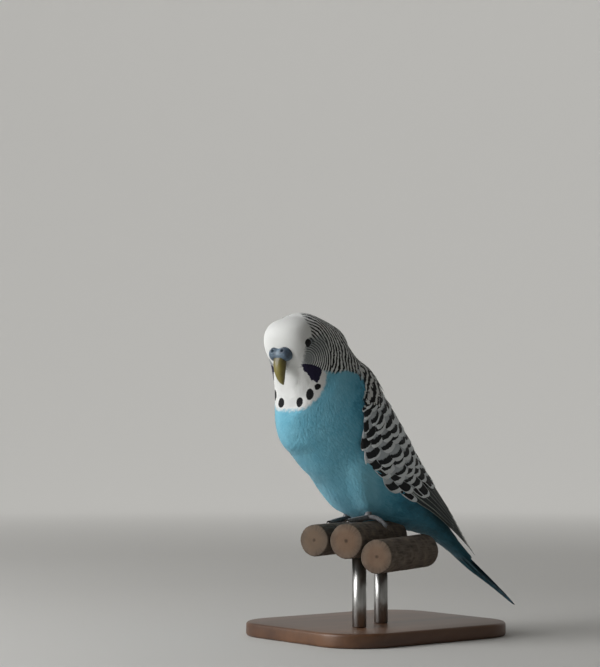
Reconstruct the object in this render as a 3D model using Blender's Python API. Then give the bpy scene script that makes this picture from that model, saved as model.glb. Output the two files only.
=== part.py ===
"""A life-size budgerigar perched on three cut logs, as a still museum model.

The bird faces -Y and its left side is +X. The origin is the middle of the
underside of the display stand's base. Metres, +Z up.

The body is one loft whose sections run from the face, through the head and
neck, to the root of the tail. Torso sections are given in the body frame:
"along" runs up the back line, "dorsal" points out of the back. Head sections
are given in the level head frame: "fore" towards the bill, "up" to the crown.
"""

import math

import bmesh
import bpy
import numpy as np

MM = 0.001
GAP = 0.3

# Pose, in degrees and millimetres
BODY_PITCH = math.radians(50.0)
TAIL_PITCH = math.radians(37.0)
HEAD_YAW = math.radians(16.0)
HEAD_BOW = math.radians(18.0)
PERCH_POINT = np.array([0.0, -6.0, 52.0])
HEAD_CENTRE_DORSAL = 16.7
HEAD_CENTRE_ALONG = 82.1
HEAD_PIVOT_BEHIND = 5.0

# Head sections: dorsal fore, dorsal up, ventral fore, ventral up, half width,
# rise of the widest point, share of the head's turn
HEAD_SECTIONS = (
    (11.8, 2.4, 10.2, -8.2, 4.5, 0.0, 1.0),
    (11.4, 6.0, 8.4, -10.6, 7.7, 0.1, 1.0),
    (8.9, 9.2, 8.0, -13.4, 9.8, 0.25, 1.0),
    (4.4, 11.0, 8.9, -17.2, 11.0, 0.34, 1.0),
    (-1.6, 11.6, 10.2, -21.4, 12.0, 0.34, 1.0),
    (-8.7, 11.5, 11.4, -25.6, 13.6, 0.3, 0.9),
)
# Neck and torso sections: dorsal along, dorsal out, ventral along, ventral out,
# half width, rise of the widest point, share of the head's turn
BODY_SECTIONS = (
    (74.4, 38.8, 60.0, -8.4, 15.4, 0.18, 0.7),
    (67.0, 37.6, 54.5, -11.8, 16.9, 0.1, 0.4),
    (58.0, 36.4, 49.0, -12.9, 18.4, 0.05, 0.15),
    (49.0, 36.1, 43.0, -11.7, 19.8, 0.0, 0.0),
    (38.0, 35.7, 34.0, -10.7, 20.4, 0.0, 0.0),
    (26.0, 35.0, 25.0, -8.6, 20.4, 0.0, 0.0),
    (14.0, 34.3, 14.0, -7.2, 19.6, 0.0, 0.0),
    (3.0, 33.6, 3.0, -4.8, 18.0, 0.0, 0.0),
    (-7.0, 32.9, -7.0, 1.0, 15.6, 0.0, 0.0),
    (-16.0, 32.4, -16.0, 9.0, 12.6, 0.0, 0.0),
    (-24.0, 31.9, -24.0, 16.5, 9.8, 0.0, 0.0),
    (-32.0, 31.8, -32.0, 22.0, 7.6, 0.0, 0.0),
    (-40.0, 32.0, -40.0, 25.8, 6.0, 0.0, 0.0),
)
RINGS_A_SECTION = 2
RING_SIDES = 24
HEAD_END = 5.0
NECK_END = 8.0

# Eyes and bill, in the level head frame
EYE_FORE, EYE_UP, EYE_SIDE = 5.4, 0.1, 9.3
EYE_RADIUS = 2.4
LID_RADIUS, LID_THICK = 1.95, 0.5
CULMEN = ((13.4, -1.6), (15.2, -4.6), (15.8, -8.0), (15.2, -11.2), (13.6, -14.0), (12.0, -15.6))
PALATE = ((8.2, -1.6), (9.2, -4.6), (10.4, -8.0), (11.2, -11.0), (11.5, -13.6), (11.4, -15.2))
BILL_HALF_WIDTHS = (3.4, 3.5, 3.1, 2.35, 1.4, 0.4)
CHIN_LINE = ((7.4, -7.6), (8.4, -9.6), (9.1, -11.4))
LOWER_BILL_HALF_WIDTHS = (2.7, 2.4, 1.6)
LOWER_BILL_DEPTH = 3.4
NOSTRIL_SIDE, NOSTRIL_RADIUS = 2.5, 0.62
CERE_LOBES = ((12.7, -0.4, 2.5, 2.9, 2.9, 2.5), (13.2, -1.2, 0.0, 2.3, 2.3, 2.2))

# Wings: sections of the surface they are folded on, as along, middle, depth, half width
WING_FOLD = (
    (-4.0, 15.3, 18.3, 17.6),
    (-14.0, 18.6, 15.0, 15.8),
    (-24.0, 22.4, 11.6, 13.0),
    (-34.0, 26.0, 8.6, 10.2),
    (-44.0, 29.4, 5.9, 7.6),
    (-54.0, 32.4, 3.6, 5.4),
    (-60.0, 33.6, 2.8, 4.6),
)
WING_LENGTH_ALONG = (54.0, -57.0)
WING_EDGES = (
    (54.0, 24.0, 52.0),
    (48.0, 14.0, 72.0),
    (40.0, 11.0, 93.0),
    (32.0, 10.0, 108.0),
    (17.0, 10.0, 109.0),
    (2.0, 11.0, 99.0),
    (-13.0, 14.0, 90.0),
    (-30.0, 22.0, 84.0),
    (-44.0, 34.0, 78.0),
    (-57.0, 50.0, 72.0),
)
WING_CORE_END = 0.74
WING_CORE_THICK = 1.9
VANE_THICK = 0.62
VANE_ROLL = 0.3

# Tail, measured from the end of the torso
TAIL_ROOT_OUT, TAIL_ROOT_ALONG = 29.4, -40.0
TAIL_LENGTH = 53.0
TAIL_FEATHER_WIDTH = 5.4

# Perch logs: radius, drop of the axis below the perch point, length, shift along the axis
LOG_TURN = math.radians(24.0)
LOG_MIDDLE_START = np.array([21.5, -28.5])
LOGS = ((6.7, 9.4, 45.0, -0.6), (7.5, 9.4, 46.0, 0.0), (7.2, 15.6, 48.0, 0.8))
LOG_SIDES = 20
LOG_CHAMFER = 0.6

# Feet: ankle side and fore, then each toe's outward turn from ahead in degrees and its length
ANKLES = {1: (9.6, 6.8), -1: (7.8, 4.4)}
TOE_RADIUS = 1.15
TARSUS_RADIUS = 1.35
TARSUS_WAY = (0.3, 2.8, 7.0)
CLAW_LENGTH = 4.0
TOES = ((-12.0, 12.0), (17.0, 15.5), (114.0, 11.0), (190.0, 6.5))

# Display stand
BASE_SIZE = (84.0, 98.0, 6.0)
BASE_CORNER = 20.0
BASE_EDGE = 1.2
ROD_RADIUS = 3.0
ROD_STEPS = (0.27, 0.73)


def clear_scene():
    """Remove the start-up scene's objects."""
    for found in list(bpy.data.objects):
        bpy.data.objects.remove(found)


def make_material(name, colour, roughness, metallic=0.0):
    """A Principled material with the sub-part's plain colour."""
    made = bpy.data.materials.new(name)
    made.use_nodes = True
    shader = made.node_tree.nodes["Principled BSDF"]
    shader.inputs["Base Color"].default_value = (*colour, 1.0)
    shader.inputs["Roughness"].default_value = roughness
    shader.inputs["Metallic"].default_value = metallic
    return made


def mesh_object(name, points_mm, faces, material=None):
    """An object from points in millimetres, linked to the scene."""
    mesh = bpy.data.meshes.new(name)
    mesh.from_pydata([tuple(p) for p in np.asarray(points_mm) * MM], [], faces)
    mesh.update()
    made = bpy.data.objects.new(name, mesh)
    bpy.context.scene.collection.objects.link(made)
    if material is not None:
        mesh.materials.append(material)
    return made


def spline(places, values, at):
    """Values at the given places, on a smooth curve through the known ones."""
    places, values, at = (np.asarray(v, float) for v in (places, values, at))
    turned = places[0] > places[-1]
    if turned:
        places, values = places[::-1], values[::-1]
    slopes = np.gradient(values, places, axis=0)
    at = np.clip(at, places[0], places[-1])
    k = np.clip(np.searchsorted(places, at, side="right") - 1, 0, len(places) - 2)
    step = places[k + 1] - places[k]
    s = (at - places[k]) / step
    if values.ndim > 1:
        s, step = s[..., None], step[..., None]
    return (
        (2 * s**3 - 3 * s**2 + 1) * values[k]
        + (s**3 - 2 * s**2 + s) * step * slopes[k]
        + (3 * s**2 - 2 * s**3) * values[k + 1]
        + (s**3 - s**2) * step * slopes[k + 1]
    )


def body_to_sagittal(along, out):
    """(y, z) of a place in the body frame."""
    y = PERCH_POINT[1] + out * math.sin(BODY_PITCH) - along * math.cos(BODY_PITCH)
    z = PERCH_POINT[2] + out * math.cos(BODY_PITCH) + along * math.sin(BODY_PITCH)
    return y, z


def head_to_sagittal(fore, up):
    """(y, z) of a place in the level head frame, before the head's turn."""
    bowed_fore = fore * math.cos(HEAD_BOW) + up * math.sin(HEAD_BOW)
    bowed_up = up * math.cos(HEAD_BOW) - fore * math.sin(HEAD_BOW)
    y, z = body_to_sagittal(HEAD_CENTRE_ALONG, HEAD_CENTRE_DORSAL)
    return y - bowed_fore, z + bowed_up


def turned(points, share):
    """Points turned with the head, by a share of its turn, to the bird's left."""
    points = np.array(points, float)
    pivot = head_to_sagittal(0.0, 0.0)[0] + HEAD_PIVOT_BEHIND
    angle = HEAD_YAW * np.asarray(share)
    x, y = points[..., 0].copy(), points[..., 1] - pivot
    points[..., 0] = x * np.cos(angle) - y * np.sin(angle)
    points[..., 1] = pivot + x * np.sin(angle) + y * np.cos(angle)
    return points


def head_point(fore, up, side):
    """A place in the level head frame, in the part's frame."""
    y, z = head_to_sagittal(fore, up)
    return turned(np.array([side, y, z]), 1.0)


def section_table():
    """The loft's sections as dorsal y and z, ventral y and z, width, rise, turn."""
    rows = [
        (*head_to_sagittal(*row[0:2]), *head_to_sagittal(*row[2:4]), *row[4:])
        for row in HEAD_SECTIONS
    ]
    rows += [
        (*body_to_sagittal(*row[0:2]), *body_to_sagittal(*row[2:4]), *row[4:])
        for row in BODY_SECTIONS
    ]
    return np.array(rows)


SECTIONS = section_table()
LAST_SECTION = len(SECTIONS) - 1.0


def body_surface(t, theta, out=0.0):
    """Points of the body loft at section t and angle theta from the back."""
    t, theta = np.broadcast_arrays(np.asarray(t, float), np.asarray(theta, float))
    row = spline(np.arange(len(SECTIONS)), SECTIONS, t)
    chord = np.stack([row[..., 0] - row[..., 2], row[..., 1] - row[..., 3]], -1)
    length = np.linalg.norm(chord, axis=-1)
    unit = chord / length[..., None]
    height = (np.cos(theta) + row[..., 5] * np.sin(theta) ** 2) * (length / 2 + out)
    points = np.stack(
        [
            (row[..., 4] + out) * np.sin(theta),
            (row[..., 0] + row[..., 2]) / 2 + unit[..., 0] * height,
            (row[..., 1] + row[..., 3]) / 2 + unit[..., 1] * height,
        ],
        -1,
    )
    return turned(points, row[..., 6])


def ring_mesh(rings):
    """Points and triangles of a closed loft over rings, with a fan on each end."""
    rings = np.asarray(rings)
    count, sides = rings.shape[:2]
    points = np.concatenate([rings.reshape(-1, 3), [rings[0].mean(0), rings[-1].mean(0)]])
    first, last = count * sides, count * sides + 1
    faces = []
    for i in range(count - 1):
        for j in range(sides):
            a, b = i * sides + j, i * sides + (j + 1) % sides
            c, d = a + sides, b + sides
            faces += [(a, b, d), (a, d, c)]
    for j in range(sides):
        k = (j + 1) % sides
        faces += [(first, k, j), (last, (count - 1) * sides + j, (count - 1) * sides + k)]
    return points, faces


def face_out(obj):
    """Turn the faces of a closed mesh outwards."""
    work = bmesh.new()
    work.from_mesh(obj.data)
    bmesh.ops.recalc_face_normals(work, faces=work.faces)
    if work.calc_volume(signed=True) < 0:
        bmesh.ops.reverse_faces(work, faces=work.faces)
    work.to_mesh(obj.data)
    work.free()
    return obj


def loft(name, rings, material=None):
    """A closed object over rings of points in millimetres."""
    return face_out(mesh_object(name, *ring_mesh(rings), material))


def body_rings(start, end, out=0.0, shift=0.0):
    """Rings of the body loft between two sections, the first moved on by shift."""
    steps = int(round((end - start) * RINGS_A_SECTION))
    angles = np.arange(RING_SIDES) * 2 * math.pi / RING_SIDES
    rings = body_surface(np.linspace(start, end, steps + 1)[:, None], angles[None, :], out)
    if shift:
        ahead = body_surface(np.array([[start + 0.2]]), angles[None, :], out)[0]
        onward = ahead.mean(0) - rings[0].mean(0)
        rings[0] += onward / np.linalg.norm(onward) * shift
    return rings


def body_cutter(start, end):
    """The body between two sections, grown all round by the gap between nodes."""
    rings = body_rings(start, end, GAP)
    for ring, inner in ((0, 1), (-1, -2)):
        way = rings[ring].mean(0) - rings[inner].mean(0)
        rings[ring] += way / np.linalg.norm(way) * GAP
    return loft("body_cutter", rings)


def apply_modifiers(obj):
    """Bake an object's modifiers into its mesh."""
    graph = bpy.context.evaluated_depsgraph_get()
    mesh = bpy.data.meshes.new_from_object(obj.evaluated_get(graph))
    obj.modifiers.clear()
    old, obj.data = obj.data, mesh
    bpy.data.meshes.remove(old)
    return obj


def keep_largest(obj):
    """Keep only the largest closed surface of a mesh."""
    work = bmesh.new()
    work.from_mesh(obj.data)
    work.verts.ensure_lookup_table()
    seen, groups = set(), []
    for start in work.verts:
        if start.index in seen:
            continue
        group, waiting = [], [start]
        seen.add(start.index)
        while waiting:
            vertex = waiting.pop()
            group.append(vertex)
            for edge in vertex.link_edges:
                other = edge.other_vert(vertex)
                if other.index not in seen:
                    seen.add(other.index)
                    waiting.append(other)
        groups.append(group)
    groups.sort(key=span_of)
    bmesh.ops.delete(work, geom=[v for g in groups[:-1] for v in g], context="VERTS")
    work.to_mesh(obj.data)
    work.free()
    return obj


def span_of(group):
    """The volume of the box round a group of vertices."""
    places = np.array([v.co for v in group])
    return float(np.prod(places.max(0) - places.min(0)))


def combine(obj, others, operation, solver="EXACT"):
    """Join or cut an object with others, apply it and remove them."""
    helper = bpy.data.collections.new("operands")
    bpy.context.scene.collection.children.link(helper)
    for other in others:
        helper.objects.link(other)
    modifier = obj.modifiers.new("combine", "BOOLEAN")
    modifier.operation = operation
    modifier.operand_type = "COLLECTION"
    modifier.collection = helper
    modifier.solver = solver
    bpy.context.view_layer.update()
    apply_modifiers(obj)
    for other in others:
        bpy.data.objects.remove(other)
    bpy.data.collections.remove(helper)
    return keep_largest(obj)


def ball(name, centre, radii, rings=8, sides=14, turn=0.0):
    """An ellipsoid with its own radii across, fore and aft, and up."""
    polar = np.linspace(0, math.pi, rings + 1)[1:-1]
    around = np.arange(sides) * 2 * math.pi / sides
    unit = np.stack(
        [
            np.sin(polar)[:, None] * np.cos(around),
            np.sin(polar)[:, None] * np.sin(around),
            np.repeat(np.cos(polar)[:, None], sides, 1),
        ],
        -1,
    )
    points, faces = ring_mesh(unit)
    points[-2:] = (0, 0, 1), (0, 0, -1)
    points = points * radii
    c, s = math.cos(turn), math.sin(turn)
    points = points @ np.array([[c, s, 0], [-s, c, 0], [0, 0, 1]]) + centre
    return face_out(mesh_object(name, points, faces))


def rod(name, start, end, radius, sides=16, end_radius=None, material=None):
    """A round rod between two points, tapered where end_radius is given."""
    start, end = np.array(start, float), np.array(end, float)
    axis = (end - start) / np.linalg.norm(end - start)
    side = np.cross(axis, (0.0, 0.0, 1.0) if abs(axis[2]) < 0.9 else (1.0, 0.0, 0.0))
    side /= np.linalg.norm(side)
    other = np.cross(axis, side)
    angles = np.arange(sides) * 2 * math.pi / sides
    circle = np.cos(angles)[:, None] * side + np.sin(angles)[:, None] * other
    far = radius if end_radius is None else end_radius
    return loft(name, [start + circle * radius, end + circle * far], material)


def tube(name, path, radii, sides=8):
    """A closed tube along points, with a radius at each."""
    path = np.asarray(path, float)
    along = np.gradient(path, axis=0)
    along /= np.linalg.norm(along, axis=1)[:, None]
    rings = []
    side = np.cross(along[0], (0.0, 0.0, 1.0) if abs(along[0][2]) < 0.9 else (1.0, 0.0, 0.0))
    angles = np.arange(sides) * 2 * math.pi / sides
    for place, way, radius in zip(path, along, radii):
        side = side - way * (side @ way)
        side /= np.linalg.norm(side)
        other = np.cross(way, side)
        circle = np.cos(angles)[:, None] * side + np.sin(angles)[:, None] * other
        rings.append(place + circle * radius)
    return loft(name, rings)


def vane(name, surface, starts, ends, half_width, lift, thick=VANE_THICK, roll=VANE_ROLL, rows=6):
    """A feather's vane laid on a surface between two of its chart places.

    surface(along, across, out) gives a point, half_width and out are in
    millimetres, and lift is the height of the root and of the tip.
    """
    share = 1.0 - (1.0 - np.linspace(0.0, 1.0, rows)) ** 1.25
    outline = np.interp(share, (0.0, 0.15, 0.45, 0.75, 0.93, 1.0), (0.5, 0.86, 1.0, 0.93, 0.6, 0.22))
    along = starts[0] + (ends[0] - starts[0]) * share
    across = starts[1] + (ends[1] - starts[1]) * share
    height = lift[0] + (lift[1] - lift[0]) * share
    middle = surface(along, across, height)
    aside = surface(along, across + 0.01, height)
    scale = np.linalg.norm(aside - middle, axis=-1) / 0.01
    faces_of = []
    for half in (thick / 2, -thick / 2):
        for edge in (-1.0, 0.0, 1.0):
            swept = along - abs(edge) * 0.012 * share**3
            out = height + half + roll * edge * (0.35 + 0.65 * share)
            faces_of.append(surface(swept, across + edge * half_width * outline / scale, out))
    rings = np.stack([faces_of[k] for k in (0, 1, 2, 5, 4, 3)], 1)
    return loft(name, rings)


def wing_fold(along, theta, out):
    """The surface that the wings are folded on, round the torso and the tail's root."""
    along, theta, out = np.broadcast_arrays(
        *(np.asarray(v, float) for v in (along, theta, out))
    )
    torso = [
        (row[2], (row[1] + row[3]) / 2, (row[1] - row[3]) / 2, row[4])
        for row in BODY_SECTIONS[2:8]
    ]
    table = np.array(torso + list(WING_FOLD))
    row = spline(table[:, 0], table[:, 1:], along)
    # The neck's sections lean, so the chart leans with them near the shoulder.
    lean = np.interp(along, (44.0, 54.0), (0.0, 3.4))
    depth, width = row[..., 1] + GAP + out, row[..., 2] + GAP + out
    y, z = body_to_sagittal(
        along + lean * np.cos(theta), row[..., 0] + depth * np.cos(theta)
    )
    return np.stack([width * np.sin(theta), y, z], -1)


def wing_surface(side):
    """The folded wing's chart: along from shoulder to tip, across from back to edge."""
    edges = np.array(WING_EDGES)

    def surface(along, across, out):
        place = WING_LENGTH_ALONG[0] + np.asarray(along) * (
            WING_LENGTH_ALONG[1] - WING_LENGTH_ALONG[0]
        )
        upper = np.radians(spline(edges[:, 0], edges[:, 1], place))
        lower = np.radians(spline(edges[:, 0], edges[:, 2], place))
        theta = upper + (lower - upper) * across
        points = wing_fold(place, theta, out)
        return points * np.array([side, 1.0, 1.0])

    return surface


def wing_core(name, surface):
    """The arm and hand of a folded wing, a thin shell over the body's side."""
    along = np.linspace(0.0, WING_CORE_END, 11)
    across = np.linspace(0.0, 1.0, 8)
    rings = []
    for place in along:
        rise = math.sin(math.pi * min(1.0, 0.18 + place)) ** 0.5 if place < 0.4 else 1.0
        taper = np.interp(place, (0.0, 0.1, 0.5, WING_CORE_END), (0.35, 0.8, 1.0, 0.55))
        shape = 0.35 + 0.65 * np.sin(math.pi * across) ** 0.6
        out = 0.15 + WING_CORE_THICK * taper * shape * rise
        outer = surface(np.full_like(across, place), across, out)
        inner = surface(np.full_like(across, place), across, 0.05)
        rings.append(np.concatenate([outer, inner[::-1]]))
    return loft(name, rings)


# Wing tiers: root, tip, feathers across, first and last place across, half width
WING_TIERS = (
    (0.03, 0.19, 5, 0.16, 0.86, 5.0),
    (0.13, 0.29, 5, 0.12, 0.88, 5.3),
    (0.225, 0.39, 5, 0.11, 0.90, 5.4),
    (0.32, 0.495, 5, 0.12, 0.90, 5.2),
    (0.42, 0.62, 5, 0.10, 0.86, 4.6),
)
PRIMARIES = 7


def wing(name, side, material):
    """A folded wing: coverts in tiers, inner flight feathers and primaries."""
    surface = wing_surface(side)
    parts = []
    for tier, (root, tip, count, first, last, half_width) in enumerate(WING_TIERS):
        for k in range(count):
            share = (k + (0.25 if tier % 2 else -0.1)) / (count - 1)
            across = first + (last - first) * min(1.0, max(0.0, share))
            wobble = 0.008 * math.sin(5.1 * k + 2.3 * tier)
            parts.append(
                vane(
                    f"{name}_covert_{tier}_{k}",
                    surface,
                    (root + wobble, across),
                    (tip + wobble, across + 0.01 * (k - 2)),
                    half_width * (1.0 + 0.05 * math.sin(3.7 * k + tier)),
                    (0.9, 2.15 + 0.04 * (tier % 2)),
                    rows=4,
                )
            )
    for k in range(PRIMARIES):
        share = k / (PRIMARIES - 1)
        tip = 1.0 - 0.30 * share**1.15
        parts.append(
            vane(
                f"{name}_primary_{k}",
                surface,
                (0.50, 0.90 - 0.62 * share),
                (tip, 0.72 - 0.40 * share),
                2.5,
                (0.75 + 0.10 * share, 0.45 + 0.75 * share),
                rows=6,
            )
        )
    made = combine(wing_core(name, surface), parts, "UNION", "MANIFOLD")
    combine(made, [body_cutter(HEAD_END, LAST_SECTION)], "DIFFERENCE", "MANIFOLD")
    made.data.materials.clear()
    made.data.materials.append(material)
    return made


def tail_surface(along, across, out):
    """The tail's chart: along from root to tip, across in millimetres to the left."""
    along, across, out = np.broadcast_arrays(*(np.asarray(v, float) for v in (along, across, out)))
    root_y, root_z = body_to_sagittal(TAIL_ROOT_ALONG, TAIL_ROOT_OUT)
    length = along * TAIL_LENGTH
    arch = out - 0.03 * across**2
    y = root_y + length * math.cos(TAIL_PITCH) + arch * math.sin(TAIL_PITCH)
    z = root_z - length * math.sin(TAIL_PITCH) + arch * math.cos(TAIL_PITCH)
    return np.stack([across, y, z], -1)


def tail(name, material):
    """The closed tail: covert core, and feathers stepped from the middle pair out."""
    rings = []
    angles = np.arange(16) * 2 * math.pi / 16
    # Each row: along, half width, height above and depth below the tail's plane
    for along, width, above, below in (
        (-0.02, 5.3, 2.0, 2.6),
        (0.14, 4.6, 1.4, 1.9),
        (0.30, 3.9, 0.8, 1.1),
        (0.44, 3.0, 0.2, 0.7),
        (0.52, 1.4, 0.05, 0.5),
    ):
        out = np.where(np.cos(angles) > 0, above, below) * np.cos(angles)
        rings.append(tail_surface(along, width * np.sin(angles), out))
    core = loft(name, rings)
    parts = []
    tips = (1.0, 0.86, 0.75, 0.66, 0.58, 0.50)
    for pair, tip in enumerate(tips):
        for side in (-1.0, 1.0):
            place = side * (0.45 + 0.44 * pair)
            half_width = (TAIL_FEATHER_WIDTH - 0.4 * pair) / 2
            low = -0.34 * pair - (0.14 if side > 0 else 0.0)
            parts.append(
                vane(
                    f"{name}_{pair}_{side:.0f}",
                    tail_surface,
                    (0.10, place * 0.9),
                    (tip, place * (0.75 if pair else 0.5)),
                    half_width,
                    (low + 0.1, low),
                    thick=0.6,
                    roll=-0.10 * side,
                    rows=8,
                )
            )
    made = combine(core, parts, "UNION")
    combine(made, [body_cutter(LAST_SECTION - 2.0, LAST_SECTION)], "DIFFERENCE")
    made.data.materials.clear()
    made.data.materials.append(material)
    return made


def log_ends(log):
    """The two ends of a log's axis, near end first, in the part's frame."""
    radius, drop, length, shift = LOGS[log]
    way = np.array([-math.sin(LOG_TURN), math.cos(LOG_TURN)])
    across = np.array([-way[1], way[0]])
    apart = 0.0
    if log != 1:
        reach = radius + LOGS[1][0] + GAP
        apart = math.sqrt(reach**2 - (drop - LOGS[1][1]) ** 2) * (1 if log == 0 else -1)
    start = LOG_MIDDLE_START + across * apart + way * shift
    start = np.array([*start, -drop]) + PERCH_POINT
    return start, start + np.array([*way, 0.0]) * length


def log_solid(name, log, out=0.0, chamfer=LOG_CHAMFER):
    """A cut length of round wood, or its cutter where out is the clearance."""
    near, far = log_ends(log)
    radius = LOGS[log][0] + out
    axis = (far - near) / np.linalg.norm(far - near)
    side = np.array([axis[1], -axis[0], 0.0])
    angles = np.arange(LOG_SIDES) * 2 * math.pi / LOG_SIDES
    circle = np.cos(angles)[:, None] * side + np.sin(angles)[:, None] * np.array([0, 0, 1.0])
    rings = []
    for place, shrink in (
        (near - axis * out, chamfer),
        (near - axis * (out - chamfer), 0.0),
        (far + axis * (out - chamfer), 0.0),
        (far + axis * out, chamfer),
    ):
        rings.append(place + circle * (radius - shrink))
    return loft(name, rings)


def log_cutters(out=GAP):
    """The perch logs grown by a clearance, to cut what rests on them."""
    return [log_solid(f"log_cutter_{k}", k, out + 0.1, 0.0) for k in range(len(LOGS))]


def log_axes():
    """Near end, direction and radius of every log."""
    found = []
    for log, (radius, *_) in enumerate(LOGS):
        near, far = log_ends(log)
        found.append((near, (far - near) / np.linalg.norm(far - near), radius))
    return found


def perch_height(place, lift):
    """Height of a point over the logs in plan, lift above their surface."""
    best = -math.inf
    for near, axis, radius in log_axes():
        rel = np.asarray(place)[:2] - near[:2]
        off = rel[0] * axis[1] - rel[1] * axis[0]
        reach = radius + lift
        if abs(off) < reach:
            best = max(best, near[2] + math.sqrt(reach**2 - off**2))
    return best


def walk(start, heading, length, lifts):
    """Points along the logs' surface from a start, each its own lift above the wood."""
    place, heading = np.array(start, float), np.array(heading, float)
    step = length / (len(lifts) - 1)
    axes = log_axes()
    path = []
    for lift in lifts:
        offs = []
        for near, axis, radius in axes:
            rel = place - near
            off = rel - axis * (rel @ axis)
            offs.append((np.linalg.norm(off) - radius - lift, off, near, axis, radius))
        nearest = min(offs, key=lambda item: item[0])
        gap, off, *_ = nearest
        normal = off / np.linalg.norm(off)
        place = place - normal * gap
        for near, axis, radius in axes:
            rel = place - near
            off = rel - axis * (rel @ axis)
            short = radius + lift - np.linalg.norm(off)
            if short > 0:
                place = place + off / np.linalg.norm(off) * short
        path.append(place.copy())
        heading = heading - normal * (heading @ normal)
        heading /= np.linalg.norm(heading)
        place = place + heading * step
    return np.array(path), heading


def ankle_point(side):
    """Where a foot's toes meet, above the log."""
    beside, fore = ANKLES[side]
    plan = np.array([side * beside, PERCH_POINT[1] - fore])
    return np.array([*plan, perch_height(plan, TOE_RADIUS + GAP + 0.1)])


def foot_parts(side, out=0.0):
    """The tubes of a zygodactyl foot, or of its cutter where out is the clearance."""
    ankle = ankle_point(side)
    start = ankle + np.array([0.0, 0.0, 0.2])
    heel = start + np.array(TARSUS_WAY) * (side, 1.0, 1.0)
    shares = np.linspace(0.0, 1.0 + out / 7.0, 5)[:, None]
    path = start + (heel - start) * shares
    parts = [tube("shank", path, TARSUS_RADIUS * np.array([1.15, 0.95, 0.95, 1.0, 1.1]) + out, 8)]
    for k, (turn, length) in enumerate(TOES):
        angle = math.radians(turn)
        heading = np.array([side * math.sin(angle), -math.cos(angle), 0.0])
        share = np.linspace(0.0, 1.0, 8)
        radii = TOE_RADIUS * (1.05 - 0.3 * share) * (1 + 0.09 * np.cos(share * 7 * math.pi))
        path, onward = walk(ankle, heading, length, radii + GAP + 0.1)
        parts.append(tube(f"toe_{k}", path, radii + out, 7))
        bend = np.linspace(0.0, 1.0, 5)
        radii = 0.66 * (1 - 0.72 * bend)
        arch = 0.75 * np.sin(math.pi * bend) + 0.2 * (1 - bend)
        claw, _ = walk(path[-2], onward, CLAW_LENGTH, radii + GAP + 0.08 + arch)
        parts.append(tube(f"claw_{k}", claw, radii + out, 5))
    return parts


def foot(name, side, material):
    """A foot: shank, two toes ahead and two behind, each with its claw."""
    made, *others = foot_parts(side)
    combine(made, others, "UNION")
    made.name = name
    made.data.materials.clear()
    made.data.materials.append(material)
    return made


# Thigh: places on the torso as section and degrees from the back, how far out,
# half thickness and half width, after a first ring over the foot
THIGH_RINGS = (
    (12.35, 143.0, 0.0, 2.0, 3.3),
    (11.9, 137.0, 0.1, 2.2, 4.4),
    (11.4, 131.0, 0.1, 2.1, 4.8),
    (10.9, 126.0, -0.2, 1.7, 4.2),
    (10.5, 122.0, -0.9, 0.9, 2.2),
)
THIGH_HEM = (0.5, -0.4, 2.2, 1.5, 2.0)


def thigh(name, side):
    """The feathered thigh, a low swell on the flank that ends over the foot."""
    angles = np.arange(14) * 2 * math.pi / 14
    first = ankle_point(side) + np.array(THIGH_HEM[:3]) * (side, 1.0, 1.0)
    centres, sizes = [first], [THIGH_HEM[3:]]
    for section, turn, out, *size in THIGH_RINGS:
        place = body_surface(section, math.radians(turn), out)
        centres.append(place * (side, 1.0, 1.0))
        sizes.append(size)
    centres = np.array(centres)
    along = np.gradient(centres, axis=0)
    rings = []
    for centre, way, (thick, wide) in zip(centres, along, sizes):
        way = way / np.linalg.norm(way)
        outward = np.array([side * 0.8, -0.45, -0.1])
        outward -= way * (outward @ way)
        outward /= np.linalg.norm(outward)
        beside = np.cross(way, outward)
        rings.append(
            centre
            + np.cos(angles)[:, None] * outward * thick
            + np.sin(angles)[:, None] * beside * wide
        )
    return loft(name, rings)


def eyelid_ring(side):
    """The bare ring of lids round an eye."""
    centre = head_point(EYE_FORE, EYE_UP, side * (EYE_SIDE + 1.35))
    outward = head_point(EYE_FORE + 0.25, EYE_UP, side * (EYE_SIDE + 2.35)) - centre
    outward /= np.linalg.norm(outward)
    first = np.cross(outward, (0.0, 0.0, 1.0))
    first /= np.linalg.norm(first)
    second = np.cross(outward, first)
    steps, sides = 16, 6
    rings = []
    for a in np.arange(steps) * 2 * math.pi / steps:
        way = first * math.cos(a) + second * math.sin(a)
        around = np.arange(sides) * 2 * math.pi / sides
        rings.append(
            centre
            + way * LID_RADIUS
            + LID_THICK * (np.cos(around)[:, None] * way + np.sin(around)[:, None] * outward)
        )
    points = np.concatenate(rings)
    faces = []
    for i in range(steps):
        for j in range(sides):
            a, b = i * sides + j, i * sides + (j + 1) % sides
            c, d = ((i + 1) % steps) * sides + j, ((i + 1) % steps) * sides + (j + 1) % sides
            faces += [(a, b, d), (a, d, c)]
    return face_out(mesh_object("lid_ring", points, faces))


def eye_ball(name, side, grow=0.0):
    """An eyeball, or its socket's cutter where grow is the clearance."""
    centre = head_point(EYE_FORE, EYE_UP, side * EYE_SIDE)
    return ball(name, centre, (EYE_RADIUS + grow,) * 3, 8, 14)


def bill_section(front, back, half_width, sides=14, out=0.0):
    """A ring of the upper bill: a ridge in front and a flatter inner side."""
    angles = np.arange(sides) * 2 * math.pi / sides
    middle = (np.array(front) + np.array(back)) / 2
    half = (np.array(front) - np.array(back)) / 2
    reach = 1 + out / np.linalg.norm(half)
    share = np.where(np.cos(angles) > 0, np.cos(angles), 0.9 * np.cos(angles)) * reach
    side = (half_width + out) * np.abs(np.sin(angles)) ** 0.8 * np.sign(np.sin(angles))
    return np.array(
        [head_point(middle[0] + half[0] * s, middle[1] + half[1] * s, w) for s, w in zip(share, side)]
    )


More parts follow.
